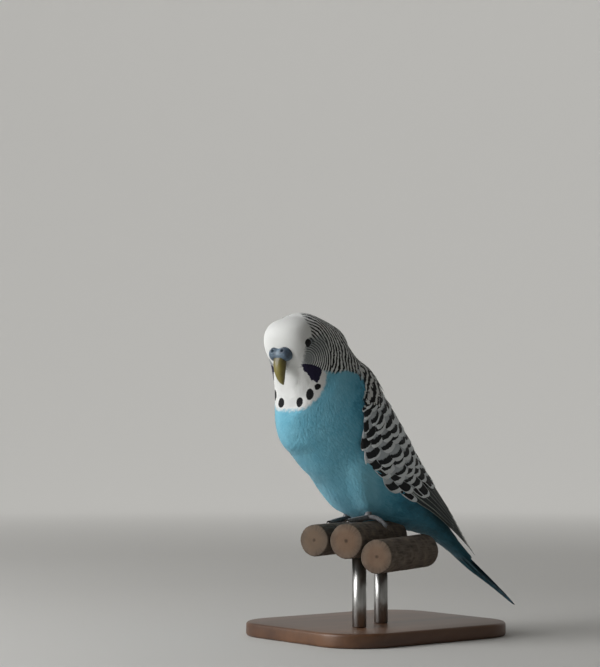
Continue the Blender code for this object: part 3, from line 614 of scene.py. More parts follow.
@dataclass(frozen=True)
class Markings:
    """Where the bird's colours lie, as distances in the level head frame.

    Outlines are seen from the side, as fore and up, and hold for both sides.
    """

    barred: tuple = (
        (-2.3, 16.0), (-2.0, 11.6), (-0.9, 10.4), (0.1, 8.9), (1.5, 6.3), (3.4, 3.7),
        (5.6, 0.9), (7.2, -1.2), (8.0, -4.3), (7.9, -7.4), (7.0, -8.4), (3.5, -10.6),
        (1.4, -12.2), (-1.7, -13.9), (-6.7, -15.7), (-12.3, -17.5), (-19.6, -20.2),
        (-18.2, -24.8), (-16.2, -28.4), (-14.2, -32.1), (-12.6, -36.3), (-12.0, -45.0),
        (-70.0, -90.0), (-110.0, -100.0), (-60.0, 16.0),
    )
    white: tuple = (
        (-5.0, 20.0), (-5.0, 12.0), (-3.5, 10.5), (-2.0, 8.0), (0.0, 5.5), (2.0, 3.0),
        (3.5, 0.0), (4.0, -3.0), (4.0, -6.0), (2.0, -10.0), (0.2, -12.0), (-0.4, -14.4),
        (1.0, -17.4), (2.6, -19.9), (4.9, -22.4), (7.9, -24.4), (10.4, -25.7),
        (12.2, -26.4), (14.0, -26.6), (30.0, -26.6), (30.0, 20.0),
    )
    patch: tuple = (
        (8.3, -7.6), (7.0, -7.7), (3.5, -9.7), (1.1, -12.0), (2.0, -13.6), (3.1, -14.6),
        (3.6, -16.0), (5.0, -17.2), (5.4, -14.9), (6.3, -15.4), (6.9, -13.0), (7.8, -10.7),
    )
    # Each spot: fore, up, side, half width, half height
    spots: tuple = (
        (10.4, -23.4, 4.7, 1.75, 2.0),
        (8.0, -20.7, 9.2, 1.7, 2.35),
        (4.9, -18.4, 11.8, 1.35, 1.3),
    )
    # Bold bars run round one point, the cheek's fine ones round another below the eye.
    bar_centre: tuple[float, float] = (8.6, -1.6)
    bar_steps: tuple = ((0.0, 1.5), (10.0, 1.6), (20.0, 1.95), (34.0, 2.5), (60.0, 3.4))
    cheek_centre: tuple[float, float] = (7.8, -6.0)
    cheek_steps: tuple = ((0.0, 0.85), (6.0, 0.95), (12.0, 1.35), (30.0, 1.9))
    nape_half: float = 6.5
    nape_pull: float = 0.55
    # The white cap reaches further back on the middle of the crown.
    cap_reach: float = 5.0
    cap_width: float = 4.5

    def phase(self, reach: np.ndarray, steps: tuple) -> np.ndarray:
        """How many bars lie within a reach, given the bars' spacing by reach.

        Args:
            reach: Distances from the point the bars run round.
            steps: Rows of a distance and the bars' spacing there.

        Returns:
            The counts.
        """
        at = np.linspace(0.0, 120.0, 1201)
        spacing = np.interp(at, *np.array(steps).T)
        return np.interp(reach, at, np.concatenate([[0.0], np.cumsum(0.1 / spacing[:-1])]))

    def fields(self, head: np.ndarray) -> dict[str, np.ndarray]:
        """Distances and the bars' phases at places.

        Args:
            head: Fore, up and side in the level head frame, before the turn.

        Returns:
            Attribute name to values: distances are above 0 inside a marking.
        """
        flat = head[:, :2].copy()
        cap = self.cap_reach * np.exp(-((head[:, 2] / self.cap_width) ** 2))
        flat[:, 0] += cap * smooth(7.0, 10.5, flat[:, 1]) * smooth(-14.0, -7.0, flat[:, 0])
        reach = np.linalg.norm(head[:, :2] - np.array(self.bar_centre), axis=1)
        # Over the nape the bars run across from side to side.
        middle = np.exp(-((head[:, 2] / self.nape_half) ** 2))
        reach = reach + self.nape_pull * middle * np.clip(10.0 - head[:, 1], 0.0, 24.0)
        near = np.linalg.norm(head[:, :2] - np.array(self.cheek_centre), axis=1)
        behind_eye = np.hypot(head[:, 0] - 1.5, 1.2 * (head[:, 1] + 0.8))
        bold = 0.12 + 0.88 * smooth(2.5, 9.5, behind_eye)
        spot = np.full(len(head), -9.0)
        for fore, up, side, wide, high in self.spots:
            off = head - np.array([fore, up, side])
            other = head - np.array([fore, up, -1.1 * side])
            for d in (off, other):
                across = np.hypot(d[:, 2], 0.6 * d[:, 0]) / wide
                size = np.hypot(across, d[:, 1] / high)
                spot = np.maximum(spot, (1 - size) * wide)
        return {
            "barred": polygon_distance(flat, np.array(self.barred)),
            "white": polygon_distance(flat, np.array(self.white)),
            "patch": polygon_distance(flat, np.array(self.patch)),
            "spot": spot,
            "phase": self.phase(reach, self.bar_steps),
            "fine": self.phase(near, self.cheek_steps),
            "cheek": (1 - smooth(10.5, 15.0, near)) * (1 - smooth(-1.0, 1.6, head[:, 1])),
            "bold": np.maximum(bold, smooth(0.8, 3.0, head[:, 1])),
            "plain": 0.94 * (1 - smooth(2.4, 5.0, near)),
        }


@dataclass(frozen=True)
class WingForm:
    """The surface a folded wing lies on, from the shoulder to the wing tip."""

    body: BodyForm
    gap: float = 0.3
    fold: tuple = (
        (-4.0, 15.3, 18.3, 17.6),
        (-14.0, 18.6, 15.0, 15.8),
        (-24.0, 22.4, 11.6, 13.0),
        (-34.0, 26.0, 8.6, 10.2),
        (-44.0, 29.4, 5.9, 7.6),
        (-54.0, 32.4, 3.6, 5.4),
        (-60.0, 33.6, 2.8, 4.6),
    )
    ends: tuple[float, float] = (54.0, -57.0)
    edges: tuple = (
        (54.0, 24.0, 52.0),
        (48.0, 14.0, 72.0),
        (40.0, 11.0, 93.0),
        (32.0, 10.0, 108.0),
        (17.0, 10.0, 109.0),
        (2.0, 11.0, 99.0),
        (-13.0, 14.0, 90.0),
        (-30.0, 22.0, 84.0),
        (-44.0, 34.0, 78.0),
        (-57.0, 50.0, 72.0),
    )

    def folded(self, along: Places, theta: Places, out: Places) -> np.ndarray:
        """Places round the torso and the tail's root that the wings lie on.

        Args:
            along: The body frame's length coordinate.
            theta: Angles from the back, in radians.
            out: Heights over the surface, in millimetres.

        Returns:
            The places.
        """
        along, theta, out = alike(along, theta, out)
        torso = [
            (r[2], (r[1] + r[3]) / 2, (r[1] - r[3]) / 2, r[4]) for r in self.body.body_sections[2:8]
        ]
        rows = np.array(torso + list(self.fold))
        row = spline(rows[:, 0], rows[:, 1:], along)
        lean = np.interp(along, (44.0, 54.0), (0.0, 3.4))
        depth, width = row[..., 1] + self.gap + out, row[..., 2] + self.gap + out
        body = self.body
        middle = row[..., 0] + depth * np.cos(theta)
        run = along + lean * np.cos(theta)
        y = body.perch_point[1] + middle * math.sin(body.pitch) - run * math.cos(body.pitch)
        z = body.perch_point[2] + middle * math.cos(body.pitch) + run * math.sin(body.pitch)
        return np.stack([width * np.sin(theta), y, z], -1)

    def limits(self, along: np.ndarray) -> tuple[np.ndarray, np.ndarray]:
        """The wing's upper and lower edge, in degrees from the back."""
        edges = np.array(self.edges)
        return spline(edges[:, 0], edges[:, 1], along), spline(edges[:, 0], edges[:, 2], along)

    def chart(self, side: Side) -> Surface:
        """The wing's surface: along from shoulder to tip, across from back to edge.

        Args:
            side: The bird's side.

        Returns:
            The chart.
        """

        def surface(along: Places, across: Places, out: Places) -> np.ndarray:
            """Places on the wing.

            Args:
                along: Shares of its length.
                across: Shares of its width.
                out: Heights over it, in millimetres.

            Returns:
                The places.
            """
            place = self.ends[0] + np.asarray(along) * (self.ends[1] - self.ends[0])
            upper, lower = self.limits(place)
            theta = np.radians(upper + (lower - upper) * across)
            return self.folded(place, theta, out) * np.array([side.value, 1.0, 1.0])

        return surface


@dataclass(frozen=True)
class TailForm:
    """The plane of the closed tail, slightly arched across."""

    body: BodyForm
    pitch: float = math.radians(37.0)
    root_out: float = 29.4
    root_along: float = -40.0
    length: float = 53.0
    arch: float = 0.03

    def surface(self, along: Places, across: Places, out: Places) -> np.ndarray:
        """Places at a share of the length, millimetres to the left, and a height.

        Args:
            along: Shares of the tail's length.
            across: Millimetres to the left.
            out: Heights over the surface, in millimetres.

        Returns:
            The places.
        """
        along, across, out = alike(along, across, out)
        root_y, root_z = self.body.to_sagittal(self.root_along, self.root_out)
        reach, height = along * self.length, out - self.arch * across**2
        y = root_y + reach * math.cos(self.pitch) + height * math.sin(self.pitch)
        z = root_z - reach * math.sin(self.pitch) + height * math.cos(self.pitch)
        return np.stack([across, y, z], -1)


@dataclass(frozen=True)
class Vane:
    """The plan of one kind of feather as a closed, thin solid."""

    rows: int = 4
    columns: int = 3
    outline: tuple = ((0.0, 0.45), (0.25, 0.85), (0.55, 1.0), (0.85, 0.72), (1.0, 0.12))
    thick: float = 0.12
    camber: float = 0.12
    hook: float = 1.6

    def half(self, along: np.ndarray) -> np.ndarray:
        """How wide it is at shares of its length, 1 where it is widest."""
        return np.interp(along, *np.array(self.outline).T)

    def template(self) -> tuple[np.ndarray, np.ndarray, np.ndarray, np.ndarray]:
        """The vane's points as along, across and skin, and its quads.

        Returns:
            Along from 0 to 1, across from -1 to 1, 1 on top and 0 below, and the quads.
        """
        v = 1 - (1 - np.linspace(0.0, 1.0, self.rows)) ** 1.3
        u = np.linspace(-1.0, 1.0, self.columns)
        top = [(a, b, 1.0) for a in v for b in u]
        below = [(a, b, 0.0) for a in v for b in u[1:-1]]
        points = np.array(top + below)
        c, inner = self.columns, self.columns - 2
        base = self.rows * c

        def under(row: int, column: int) -> int:
            """The number of a lower point, or of the upper one at a side edge."""
            if column in (0, c - 1):
                return row * c + column
            return base + row * inner + column - 1

        quads = []
        for i in range(self.rows - 1):
            for j in range(c - 1):
                quads.append((i * c + j, i * c + j + 1, (i + 1) * c + j + 1, (i + 1) * c + j))
                quads.append((under(i, j), under(i + 1, j), under(i + 1, j + 1), under(i, j + 1)))
        for row, flip in ((0, False), (self.rows - 1, True)):
            for j in range(0, c - 1, 2):
                ring = [under(row, j), under(row, j + 1), under(row, j + 2)]
                ring += [row * c + j + 1]
                quads.append(tuple(ring[::-1] if flip else ring))
        return points[:, 0], points[:, 1], points[:, 2], np.array(quads)


@dataclass
class Lie:
    """Where feathers of one kind grow and how they lie, one row a feather."""

    at: np.ndarray
    across: np.ndarray
    turn: np.ndarray
    length: np.ndarray
    width: np.ndarray
    root_lift: np.ndarray
    tip_lift: np.ndarray
    roll: np.ndarray

    def kept(self, mask: np.ndarray) -> "Lie":
        """Only the feathers where the mask is true."""
        return Lie(*(getattr(self, name)[mask] for name in self.__dataclass_fields__))


def lay_vanes(plan: Vane, lie: Lie, surface: Surface) -> dict[str, np.ndarray]:
    """Bend feathers onto a surface.

    Args:
        plan: The kind of feather.
        lie: Where each one is and how it lies.
        surface: The surface's chart.

    Returns:
        Chart places, heights, quads, along, across and feather number of each point.
    """
    v, u, top, quads = plan.template()
    step = 0.01
    zero = np.zeros_like(lie.at)
    here = surface(lie.at, lie.across, zero)
    per_at = np.linalg.norm(surface(lie.at + step, lie.across, zero) - here, axis=-1) / step
    per_across = np.linalg.norm(surface(lie.at, lie.across + step, zero) - here, axis=-1) / step
    half = plan.half(v) * u
    along = lie.length[:, None] * v[None]
    beside = lie.width[:, None] / 2 * half[None]
    c, s = np.cos(lie.turn)[:, None], np.sin(lie.turn)[:, None]
    at = lie.at[:, None] + (along * c - beside * s) / np.maximum(per_at, 0.3)[:, None]
    across = lie.across[:, None] + (along * s + beside * c) / np.maximum(per_across, 0.3)[:, None]
    rise = lie.root_lift[:, None] + (lie.tip_lift - lie.root_lift)[:, None] * v[None] ** plan.hook
    crown = plan.camber * (1 - u**2) - plan.thick * (1 - top) * (1 - 0.5 * v)
    out = rise + crown[None] + lie.roll[:, None] * u[None]
    number = np.repeat(np.arange(len(lie.at)), len(v))
    faces = (quads[None] + (np.arange(len(lie.at)) * len(v))[:, None, None]).reshape(-1, 4)
    return {
        "at": at.ravel(),
        "across": across.ravel(),
        "out": out.ravel(),
        "faces": faces,
        "v": np.tile(v, len(lie.at)),
        "u": np.tile(u, len(lie.at)),
        "top": np.tile(top, len(lie.at)),
        "number": number,
    }


@dataclass(frozen=True)
class ContourPlumage:
    """Small body feathers: sky blue, a white face, black bars, violet and black spots.

    Matt and soft, with a slight sheen of barbs.
    """

    light: str = "#7ABBD0"
    deep: str = "#4394B1"
    dusk: str = "#1F5564"
    white: str = "#DEDFDD"
    bar: str = "#0D0E10"
    pale_bar: str = "#CFD1CF"
    grey_pale: str = "#8F9594"
    grey_bar: str = "#54595B"
    cheek_front: str = "#858A8A"
    violet: str = "#17122F"
    black: str = "#08080A"
    bar_share: float = 0.52
    # Each marking's edge: how far it wanders and how soft it is, in millimetres
    edges: tuple = (
        ("white", 2.2, 0.8), ("barred", 1.4, 0.7), ("patch", 0.7, 0.12), ("spot", 0.3, 0.12),
    )

    def bars(self) -> list[tuple]:
        """Wavy bars from the two phases: fine on the cheek, bolder and unruly to the back.

        Returns:
            Rows for new_material.
        """
        limit = math.cos(math.pi * self.bar_share)
        rows = [
            ("wander", MATH, {0: "mottle", 1: 1.1, 2: -0.55}, TIMES_PLUS),
            ("wander", MATH, {0: "tone", 1: 0.14, 2: "wander"}, TIMES_PLUS),
            ("unruly", RANGE, {0: "phase", 1: 9.0, 2: 20.0, 3: 1.0, 4: 2.2}),
            ("wander", MATH, {0: "wander", 1: "unruly"}, TIMES),
        ]
        for phase, amount in (("phase", 1.0), ("fine", 0.5)):
            wave = phase + "_wave"
            rows += [
                (wave, MATH, {0: "wander", 1: amount, 2: phase}, TIMES_PLUS),
                (wave, MATH, {0: wave, 1: 2 * math.pi}, TIMES),
                (wave, MATH, {0: wave}, SINE),
            ]
        return rows + [
            ("wave", MIX, {0: "cheek", 2: "phase_wave", 3: "fine_wave"}),
            ("bars", RANGE, {0: "wave", 1: limit - 0.28, 2: limit + 0.28}, SOFT),
            ("pale_bars", MIX, {0: "bold", 6: self.grey_pale, 7: self.pale_bar}, COLOUR),
            ("dark_bars", MIX, {0: "bold", 6: self.grey_bar, 7: self.bar}, COLOUR),
            ("stripes", MIX, {0: "bars", 6: "pale_bars", 7: "dark_bars"}, COLOUR),
            ("stripes", MIX, {0: "plain", 6: "stripes", 7: self.cheek_front}, COLOUR),
        ]

    def build(self) -> Material:
        """Make the material from the markings' attributes.

        Returns:
            The new material.
        """
        rows = [
            PLACE,
            # Ragged edges, half a millimetre deep
            ("ragged", NOISE, {"Vector": "place", "Scale": 900.0, "Detail": 2.0}),
            # Soft patches, about 7 mm across: painted light and shade of feather clumps on the blue,
            # and the wander of the bars and of the barred edge
            ("mottle", NOISE, {"Vector": "place", "Scale": 150.0, "Detail": 3.0}),
            # How deep the blue is: each feather's tone, the depth of blue with its painted flank
            # shade, and the painted light and shade of clumps
            ("streak", MATH, {0: "tone", 1: 0.22, 2: "shade"}, TIMES_PLUS),
            ("streak", MATH, {0: "mottle", 1: 0.75, 2: "streak"}, TIMES_PLUS),
            ("blue_share", RANGE, {0: "streak", 1: 0.25, 2: 1.2}),
            ("dusk_share", RANGE, {0: "streak", 1: 0.9, 2: 1.8}),
            ("blue", MIX, {0: "blue_share", 6: self.light, 7: self.deep}, COLOUR),
            ("blue", MIX, {0: "dusk_share", 6: "blue", 7: self.dusk}, COLOUR),
            *self.bars(),
            ("uneven", MATH, {0: "mottle", 1: 5.0, 2: -2.5}, TIMES_PLUS),
            ("soft_edge", RANGE, {0: "barred", 1: 4.0, 2: 1.0}),
            ("uneven", MATH, {0: "uneven", 1: "soft_edge"}, TIMES),
            ("barred", MATH, {0: "barred", 1: "uneven"}),
        ]
        for name, wander, soft in self.edges:
            rows += [
                (name, MATH, {0: "ragged", 1: wander, 2: name}, TIMES_PLUS),
                (name, RANGE, {0: name, 1: wander / 2 - soft, 2: wander / 2 + soft}, SOFT),
            ]
        rows += [
            ("colour", MIX, {0: "white", 6: "blue", 7: self.white}, COLOUR),
            ("colour", MIX, {0: "barred", 6: "colour", 7: "stripes"}, COLOUR),
            ("colour", MIX, {0: "patch", 6: "colour", 7: self.violet}, COLOUR),
            ("colour", MIX, {0: "spot", 6: "colour", 7: self.black}, COLOUR),
            ("barbs", NOISE, {"Vector": "place", "Scale": 2600.0, "Detail": 1.0}),
            ("bump", BUMP, {"Height": "barbs", "Strength": 0.25, "Distance": 0.0001}),
        ]
        reads = "barred white patch spot phase fine cheek bold plain tone shade"
        shader = {
            "Base Color": "colour", "Roughness": 0.78, "Specular IOR Level": 0.25,
            "Sheen Weight": 0.12, "Sheen Roughness": 0.5, "Normal": "bump",
        }
        return new_material("contour_feathers", reads, rows, shader)


@dataclass(frozen=True)
class FlightPlumage:
    """Stiff vanes with a dark centre, a pale rim and a shaft, smooth and faintly glossy, the dark
    part with a painted sheen that varies from feather to feather.
    """

    name: str
    dark: str
    pale: str
    # The colour of a painted sheen on the dark part
    sheen: str = "#3B4A4E"
    shaft: str = "#15171A"
    inner: str = "#AEB5B9"

    def build(self) -> Material:
        """Make the material from each feather's own rim distances and map.

        Returns:
            The new material.
        """
        rows = [
            PLACE,
            ("ragged", NOISE, {"Vector": "place", "Scale": 1100.0, "Detail": 2.0}),
            ("side", MATH, {0: "ragged", 1: 0.4, 2: "side_rim"}, TIMES_PLUS),
            ("side", RANGE, {0: "side", 1: 0.13, 2: 0.27}, SOFT),
            ("tip", MATH, {0: "ragged", 1: 0.8, 2: "tip_rim"}, TIMES_PLUS),
            ("tip", RANGE, {0: "tip", 1: 0.25, 2: 0.55}, SOFT),
            ("above", MATH, {0: "tip_rim", 1: "band"}, MINUS),
            ("above", MATH, {0: "ragged", 1: 1.4, 2: "above"}, TIMES_PLUS),
            ("above", RANGE, {0: "above", 1: 0.4, 2: 1.1}, SOFT),
            ("heart", MATH, {0: "side", 1: "tip"}, TIMES),
            # Painted sheen: each feather's dark leans by its own share towards the sheen colour
            ("dark", MIX, {0: "tone", 6: self.dark, 7: self.sheen}, COLOUR),
            ("dark", MIX, {0: "above", 6: "dark", 7: self.inner}, COLOUR),
            ("colour", MIX, {0: "heart", 6: self.pale, 7: "dark"}, COLOUR),
            ("off_shaft", MATH, {0: "u"}, {"operation": "ABSOLUTE"}),
            ("on_shaft", RANGE, {0: "off_shaft", 1: 0.07, 2: 0.03}),
            ("on_shaft", MATH, {0: "on_shaft", 1: "heart"}, TIMES),
            ("below", MATH, {0: 1.0, 1: "above"}, MINUS),
            ("on_shaft", MATH, {0: "on_shaft", 1: "below"}, TIMES),
            ("colour", MIX, {0: "on_shaft", 6: "colour", 7: self.shaft}, COLOUR),
            # Barbs run out from the shaft, about five to a millimetre
            ("slant", MATH, {0: "off_shaft", 1: -1.6, 2: "tip_rim"}, TIMES_PLUS),
            ("barbs", MATH, {0: "slant", 1: 30.0}, TIMES),
            ("barbs", MATH, {0: "barbs"}, SINE),
            ("bump", BUMP, {"Height": "barbs", "Strength": 0.2, "Distance": 0.00008}),
        ]
        shader = {
            "Base Color": "colour", "Roughness": 0.62, "Specular IOR Level": 0.3,
            "Normal": "bump",
        }
        return new_material(self.name, "side_rim tip_rim band tone u", rows, shader)


@dataclass(frozen=True)
class MottledSkin:
    """Bare skin, horn, wood or metal: two tones in a pattern, with a bump of the same grain."""

    name: str
    first: str
    second: str
    roughness: float
    scale: float
    stretch: tuple[float, float, float] = (1.0, 1.0, 1.0)
    bump: float = 0.1
    metallic: float = 0.0
    coat: float = 0.0
    specular: float = 0.5

    def build(self) -> Material:
        """Make the material.

        Returns:
            The new material.
        """
        noise = {"Vector": "mapped", "Scale": self.scale, "Detail": 5.0, "Roughness": 0.6}
        rows = [
            PLACE,
            ("mapped", MAPPING, {"Vector": "place", "Scale": self.stretch}),
            ("grain", NOISE, noise),
            ("share", RANGE, {0: "grain", 1: 0.35, 2: 0.65}),
            ("colour", MIX, {0: "share", 6: self.first, 7: self.second}, COLOUR),
            ("bump", BUMP, {"Height": "grain", "Strength": self.bump, "Distance": 0.0003}),
        ]
        shader = {
            "Base Color": "colour", "Roughness": self.roughness, "Metallic": self.metallic,
            "Specular IOR Level": self.specular, "Coat Weight": self.coat,
            "Coat Roughness": 0.15, "Normal": "bump",
        }
        return new_material(self.name, "", rows, shader)


@dataclass(frozen=True)
class ShadedHorn:
    """The bill: horn that is paler along its ridge and tip, a painted highlight, and darker at the
    base.
    """

    # The colour of the painted highlight along the ridge
    ridge: str = "#7F7536"
    flank: str = "#54491B"
    base: str = "#353223"

    def build(self) -> Material:
        """Make the material from the bill's own attributes.

        Returns:
            The new material.
        """
        rows = [
            PLACE,
            ("grain", NOISE, {"Vector": "place", "Scale": 420.0, "Detail": 3.0}),
            # Painted highlight: paler towards the front of each ring, along the ridge
            ("wide", MATH, {0: "grain", 1: 0.35, 2: "ridge"}, TIMES_PLUS),
            ("front", RANGE, {0: "wide", 1: 0.55, 2: 1.2}),
            ("colour", MIX, {0: "front", 6: self.flank, 7: self.ridge}, COLOUR),
            ("root", RANGE, {0: "down", 1: 0.32, 2: 0.02}),
            ("colour", MIX, {0: "root", 6: "colour", 7: self.base}, COLOUR),
            ("bump", BUMP, {"Height": "grain", "Strength": 0.12, "Distance": 0.0002}),
        ]
        shader = {
            "Base Color": "colour", "Roughness": 0.38, "Coat Weight": 0.15, "Normal": "bump",
        }
        return new_material("bill_horn_layered", "down ridge", rows, shader)


@dataclass(frozen=True)
class LogWood:
    """Round wood: thin grey-brown bark along the sides, rings and a pith on the cut ends."""

    name: str
    heart: str = "#654F3E"
    ring: str = "#5C4636"
    sawn: str = "#786453"
    pith: str = "#33271F"
    bark: str = "#6A6056"
    bark_dark: str = "#433B34"
    bark_worn: str = "#75685B"

    def build(self) -> Material:
        """Make the material from the log's own attributes.

        Returns:
            The new material.
        """
        furrow = {"Vector": "stretched", "Scale": 1.1, "Detail": 6.0, "Roughness": 0.6}
        rows = [
            PLACE,
            ("wobble", NOISE, {"Vector": "place", "Scale": 260.0, "Detail": 4.0}),
            # Growth rings a little under a millimetre apart
            ("rings", MATH, {0: "wobble", 1: 2.6, 2: "radial"}, TIMES_PLUS),
            ("rings", MATH, {0: "rings", 1: 7.4}, TIMES),
            ("rings", MATH, {0: "rings"}, SINE),
            ("rings", RANGE, {0: "rings", 1: -1.0, 2: 1.0, 3: 0.3, 4: 0.7}),
            ("end", MIX, {0: "rings", 6: self.heart, 7: self.ring}, COLOUR),
            ("end", MIX, {0: "wobble", 6: "end", 7: self.sawn}, COLOUR),
            # The pith is a spot a millimetre wide
            ("core", MATH, {0: "wobble", 1: "radial"}),
            ("pith", RANGE, {0: "core", 1: 1.5, 2: 0.8, 3: 0.0, 4: 0.75}),
            ("end", MIX, {0: "pith", 6: "end", 7: self.pith}, COLOUR),
            # Furrows in the bark, eight times as long as they are wide
            ("flat", "ShaderNodeCombineXYZ", {"X": "run", "Y": "round", "Z": 0.0}),
            ("stretched", MAPPING, {"Vector": "flat", "Scale": (0.11, 0.9, 1.0)}),
            ("furrow", NOISE, furrow),
            ("furrowed", RANGE, {0: "furrow", 1: 0.36, 2: 0.66}),
            ("bark", MIX, {0: "furrowed", 6: self.bark_dark, 7: self.bark}, COLOUR),
            ("worn", RANGE, {0: "wobble", 1: 0.45, 2: 0.75}),
            ("bark", MIX, {0: "worn", 6: "bark", 7: self.bark_worn}, COLOUR),
            ("colour", MIX, {0: "cut", 6: "bark", 7: "end"}, COLOUR),
            ("height", MIX, {0: "cut", 2: "furrow", 3: "wobble"}),
            ("bump", BUMP, {"Height": "height", "Strength": 0.35, "Distance": 0.0004}),
        ]
        shader = {
            "Base Color": "colour", "Roughness": 0.82, "Specular IOR Level": 0.25,
            "Normal": "bump",
        }
        return new_material(self.name, "cut radial run round", rows, shader)


def patch_map(
    laid: dict[str, np.ndarray], centre: np.ndarray, size: tuple[float, float]
) -> np.ndarray:
    """Each feather's own patch of the map, at its root's place.

    Args:
        laid: What lay_vanes gave.
        centre: One pair a feather, the patch's middle.
        size: The patch's width and height.

    Returns:
        One pair a point.
    """
    middle = centre[laid["number"]]
    skin = np.where(laid["top"] > 0.5, 0.03, -0.03) * (1 - laid["u"] ** 2)
    return np.stack(
        [
            middle[:, 0] + laid["u"] * size[0] / 2,
            middle[:, 1] + (laid["v"] - 0.5 + skin) * size[1],
        ],
        -1,
    )


@dataclass(frozen=True)
class Stretch:
    """One stretch of the coat, as rows that begin with a section.

    Then comes the distance between roots, a feather's length and width, or the height
    of its tip over the solids' surface.
    """

    name: str
    gap: tuple
    size: tuple
    lift: tuple
    start: float | None = None


@dataclass
class Plumage:
    """The skin and the small feathers of the head, neck and torso."""

    body: BodyForm
    wing: WingForm
    markings: Markings
    material: Material
    skin_rings: int = 170
    skin_sides: int = 150
    most_faces: int = 90000
    patch: float = 0.003
    front: float = -1.45
    # The eye's front, as fore, up and side, and how far roots keep from it
    eye_front: tuple[float, float, float] = (4.9, 0.9, 11.2)
    eye_clear: float = 1.6
    # How many degrees the coat runs on under the wings' edges
    under_wing: float = 7.0
    flank_rows: int = 3
    mantle_rows: int = 4
    soft: Vane = Vane(
        rows=5,
        outline=((0.0, 0.4), (0.3, 0.85), (0.6, 1.0), (0.85, 0.72), (1.0, 0.16)),
        thick=0.03,
        camber=0.02,
        hook=0.5,
    )
    coat: tuple[Stretch, ...] = (
        Stretch(
            "coat_face", ((0.0, 0.42), (3.2, 0.64)),
            ((0.0, 1.3, 0.72), (1.5, 2.0, 0.95), (3.2, 2.8, 1.2)),
            ((0.0, -0.1), (3.2, -0.1)), -0.95,
        ),
        Stretch(
            "coat_head", ((3.2, 0.64), (7.0, 0.78)), ((3.2, 2.8, 1.2), (7.0, 4.2, 1.45)),
            ((3.2, -0.1), (7.0, 0.0)),
        ),
        Stretch(
            "coat_body", ((7.0, 0.78), (10.0, 0.86), (14.0, 0.95)),
            ((7.0, 4.2, 1.45), (10.0, 5.4, 1.7), (14.0, 7.5, 1.9)), ((7.0, 0.0), (14.0, 0.1)),
        ),
        Stretch(
            "coat_vent", ((14.0, 0.95), (18.4, 0.95)), ((14.0, 8.0, 2.0), (18.4, 11.0, 2.4)),
            ((14.0, 0.1), (18.4, 0.2)),
        ),
    )

    def map_height(self, t: np.ndarray) -> np.ndarray:
        """A section's height on the unwrap."""
        return 0.08 + 0.044 * np.asarray(t, float)

    def depth(self, t: np.ndarray) -> np.ndarray:
        """How far the skin lies under the solids' surface, by section."""
        return np.interp(t, (0.0, 2.0, 5.0, 8.0, 18.0, 20.0), (0.3, 0.36, 0.45, 0.65, 0.8, 0.5))

    def shade(self, t: np.ndarray, theta: np.ndarray) -> np.ndarray:
        """How deep the blue is: pale by the throat, deeper to the flanks and under the tail; on the
        flanks this is partly painted shade.

        Args:
            t: Section numbers.
            theta: Angles from the back, in radians.

        Returns:
            0 where it is pale, above 1 where it is dusky.
        """
        belly = np.abs((theta % (2 * np.pi)) - np.pi)
        base = np.interp(t, (5.0, 8.0, 12.0, 14.0, 18.0, 20.0), (0.0, 0.0, 0.12, 0.6, 1.1, 1.3))
        # Deeper blue on the flanks: partly their own colour, partly painted shade
        flank = 0.6 * smooth(0.8, 1.9, belly) * smooth(7.0, 9.0, t)
        return base + flank - 0.35 * np.minimum(1.0, self.body.thigh_swell(t, theta))

    def fields(self, t: np.ndarray, theta: np.ndarray) -> dict[str, np.ndarray]:
        """All the markings' attributes at chart places.

        Args:
            t: Section numbers.
            theta: Angles from the back, in radians.

        Returns:
            Attribute name to values.
        """
        points, _ = self.body.unturned(t, theta, 0.0)
        found = self.markings.fields(self.body.to_head(points))
        found["shade"] = self.shade(t, theta)
        along = self.body.along_back(t)
        # The bars end on the lower back, and at the wings' edges on the flanks.
        edge = 1.15 + 0.42 * smooth(34.0, 50.0, along)
        mantle = np.minimum((along - 16.0), (edge - from_back(theta)) * 18.0)
        low = smooth(46.0, 64.0, along)
        found["barred"] = np.where(
            along < 66.0, np.minimum(found["barred"], mantle + 60 * low), found["barred"]
        )
        return found

    def raised(self, t: np.ndarray, theta: np.ndarray, out: np.ndarray) -> np.ndarray:
        """Places at a height over the body, straight up from its surface."""
        base = self.body.surface(t, theta, 0.0)
        return base + outward(self.body.surface, t, theta) * np.asarray(out)[..., None]

    def build_skin(self) -> None:
        """Make the one skin, with a swell over each thigh."""
        t = np.linspace(self.front, self.body.torso_end, self.skin_rings)
        theta = turns(self.skin_sides)
        grid_t, grid_theta = (g.ravel() for g in np.meshgrid(t, theta, indexing="ij"))
        out = -self.depth(grid_t)
        rings = self.raised(grid_t, grid_theta, out).reshape(len(t), len(theta), 3)
        points, faces = loft_arrays(rings)
        ends_t = np.concatenate([grid_t, [self.front, self.body.torso_end]])
        ends_theta = np.concatenate([grid_theta, [0.0, 0.0]])
        fields = self.fields(ends_t, ends_theta)
        fields["tone"] = np.full(len(points), 0.5)
        maps = []
        for group in faces:
            u = ends_theta[group] / (2 * np.pi)
            across = np.where(u.max(1, keepdims=True) - u > 0.5, u + 1.0, u)
            v = self.map_height(ends_t[group])
            if group.shape[1] == 3:
                hub = group >= len(grid_t)
                across = np.where(hub, np.sort(across, axis=1)[:, 1:2] + 0.002, across)
                v = np.where(hub, np.where(v > 0.5, v + 0.01, v - 0.004), v)
            maps.append(np.stack([across, v], -1).reshape(-1, 2))
        piece = mesh_piece(
            "skin", points, faces, self.material, {"OFBake": np.concatenate(maps)}, fields
        )
        declare(piece, "blue_plumage", "head", "neck", "torso", "thigh_left", "thigh_right")

    def covered(self, t: np.ndarray, theta: np.ndarray, margin: float) -> np.ndarray:
        """Where a folded wing hides the coat, margin degrees inside its edges.

        Args:
            t: Section numbers.
            theta: Angles from the back, in radians.
            margin: Degrees.

        Returns:
            True where it is hidden.
        """
        along = self.body.along_back(t)
        degrees = np.degrees(from_back(theta))
        upper, lower = self.wing.limits(along)
        within = (along < 47.0) & (along > -50.0)
        return within & (degrees > upper + margin) & (degrees < lower - margin)

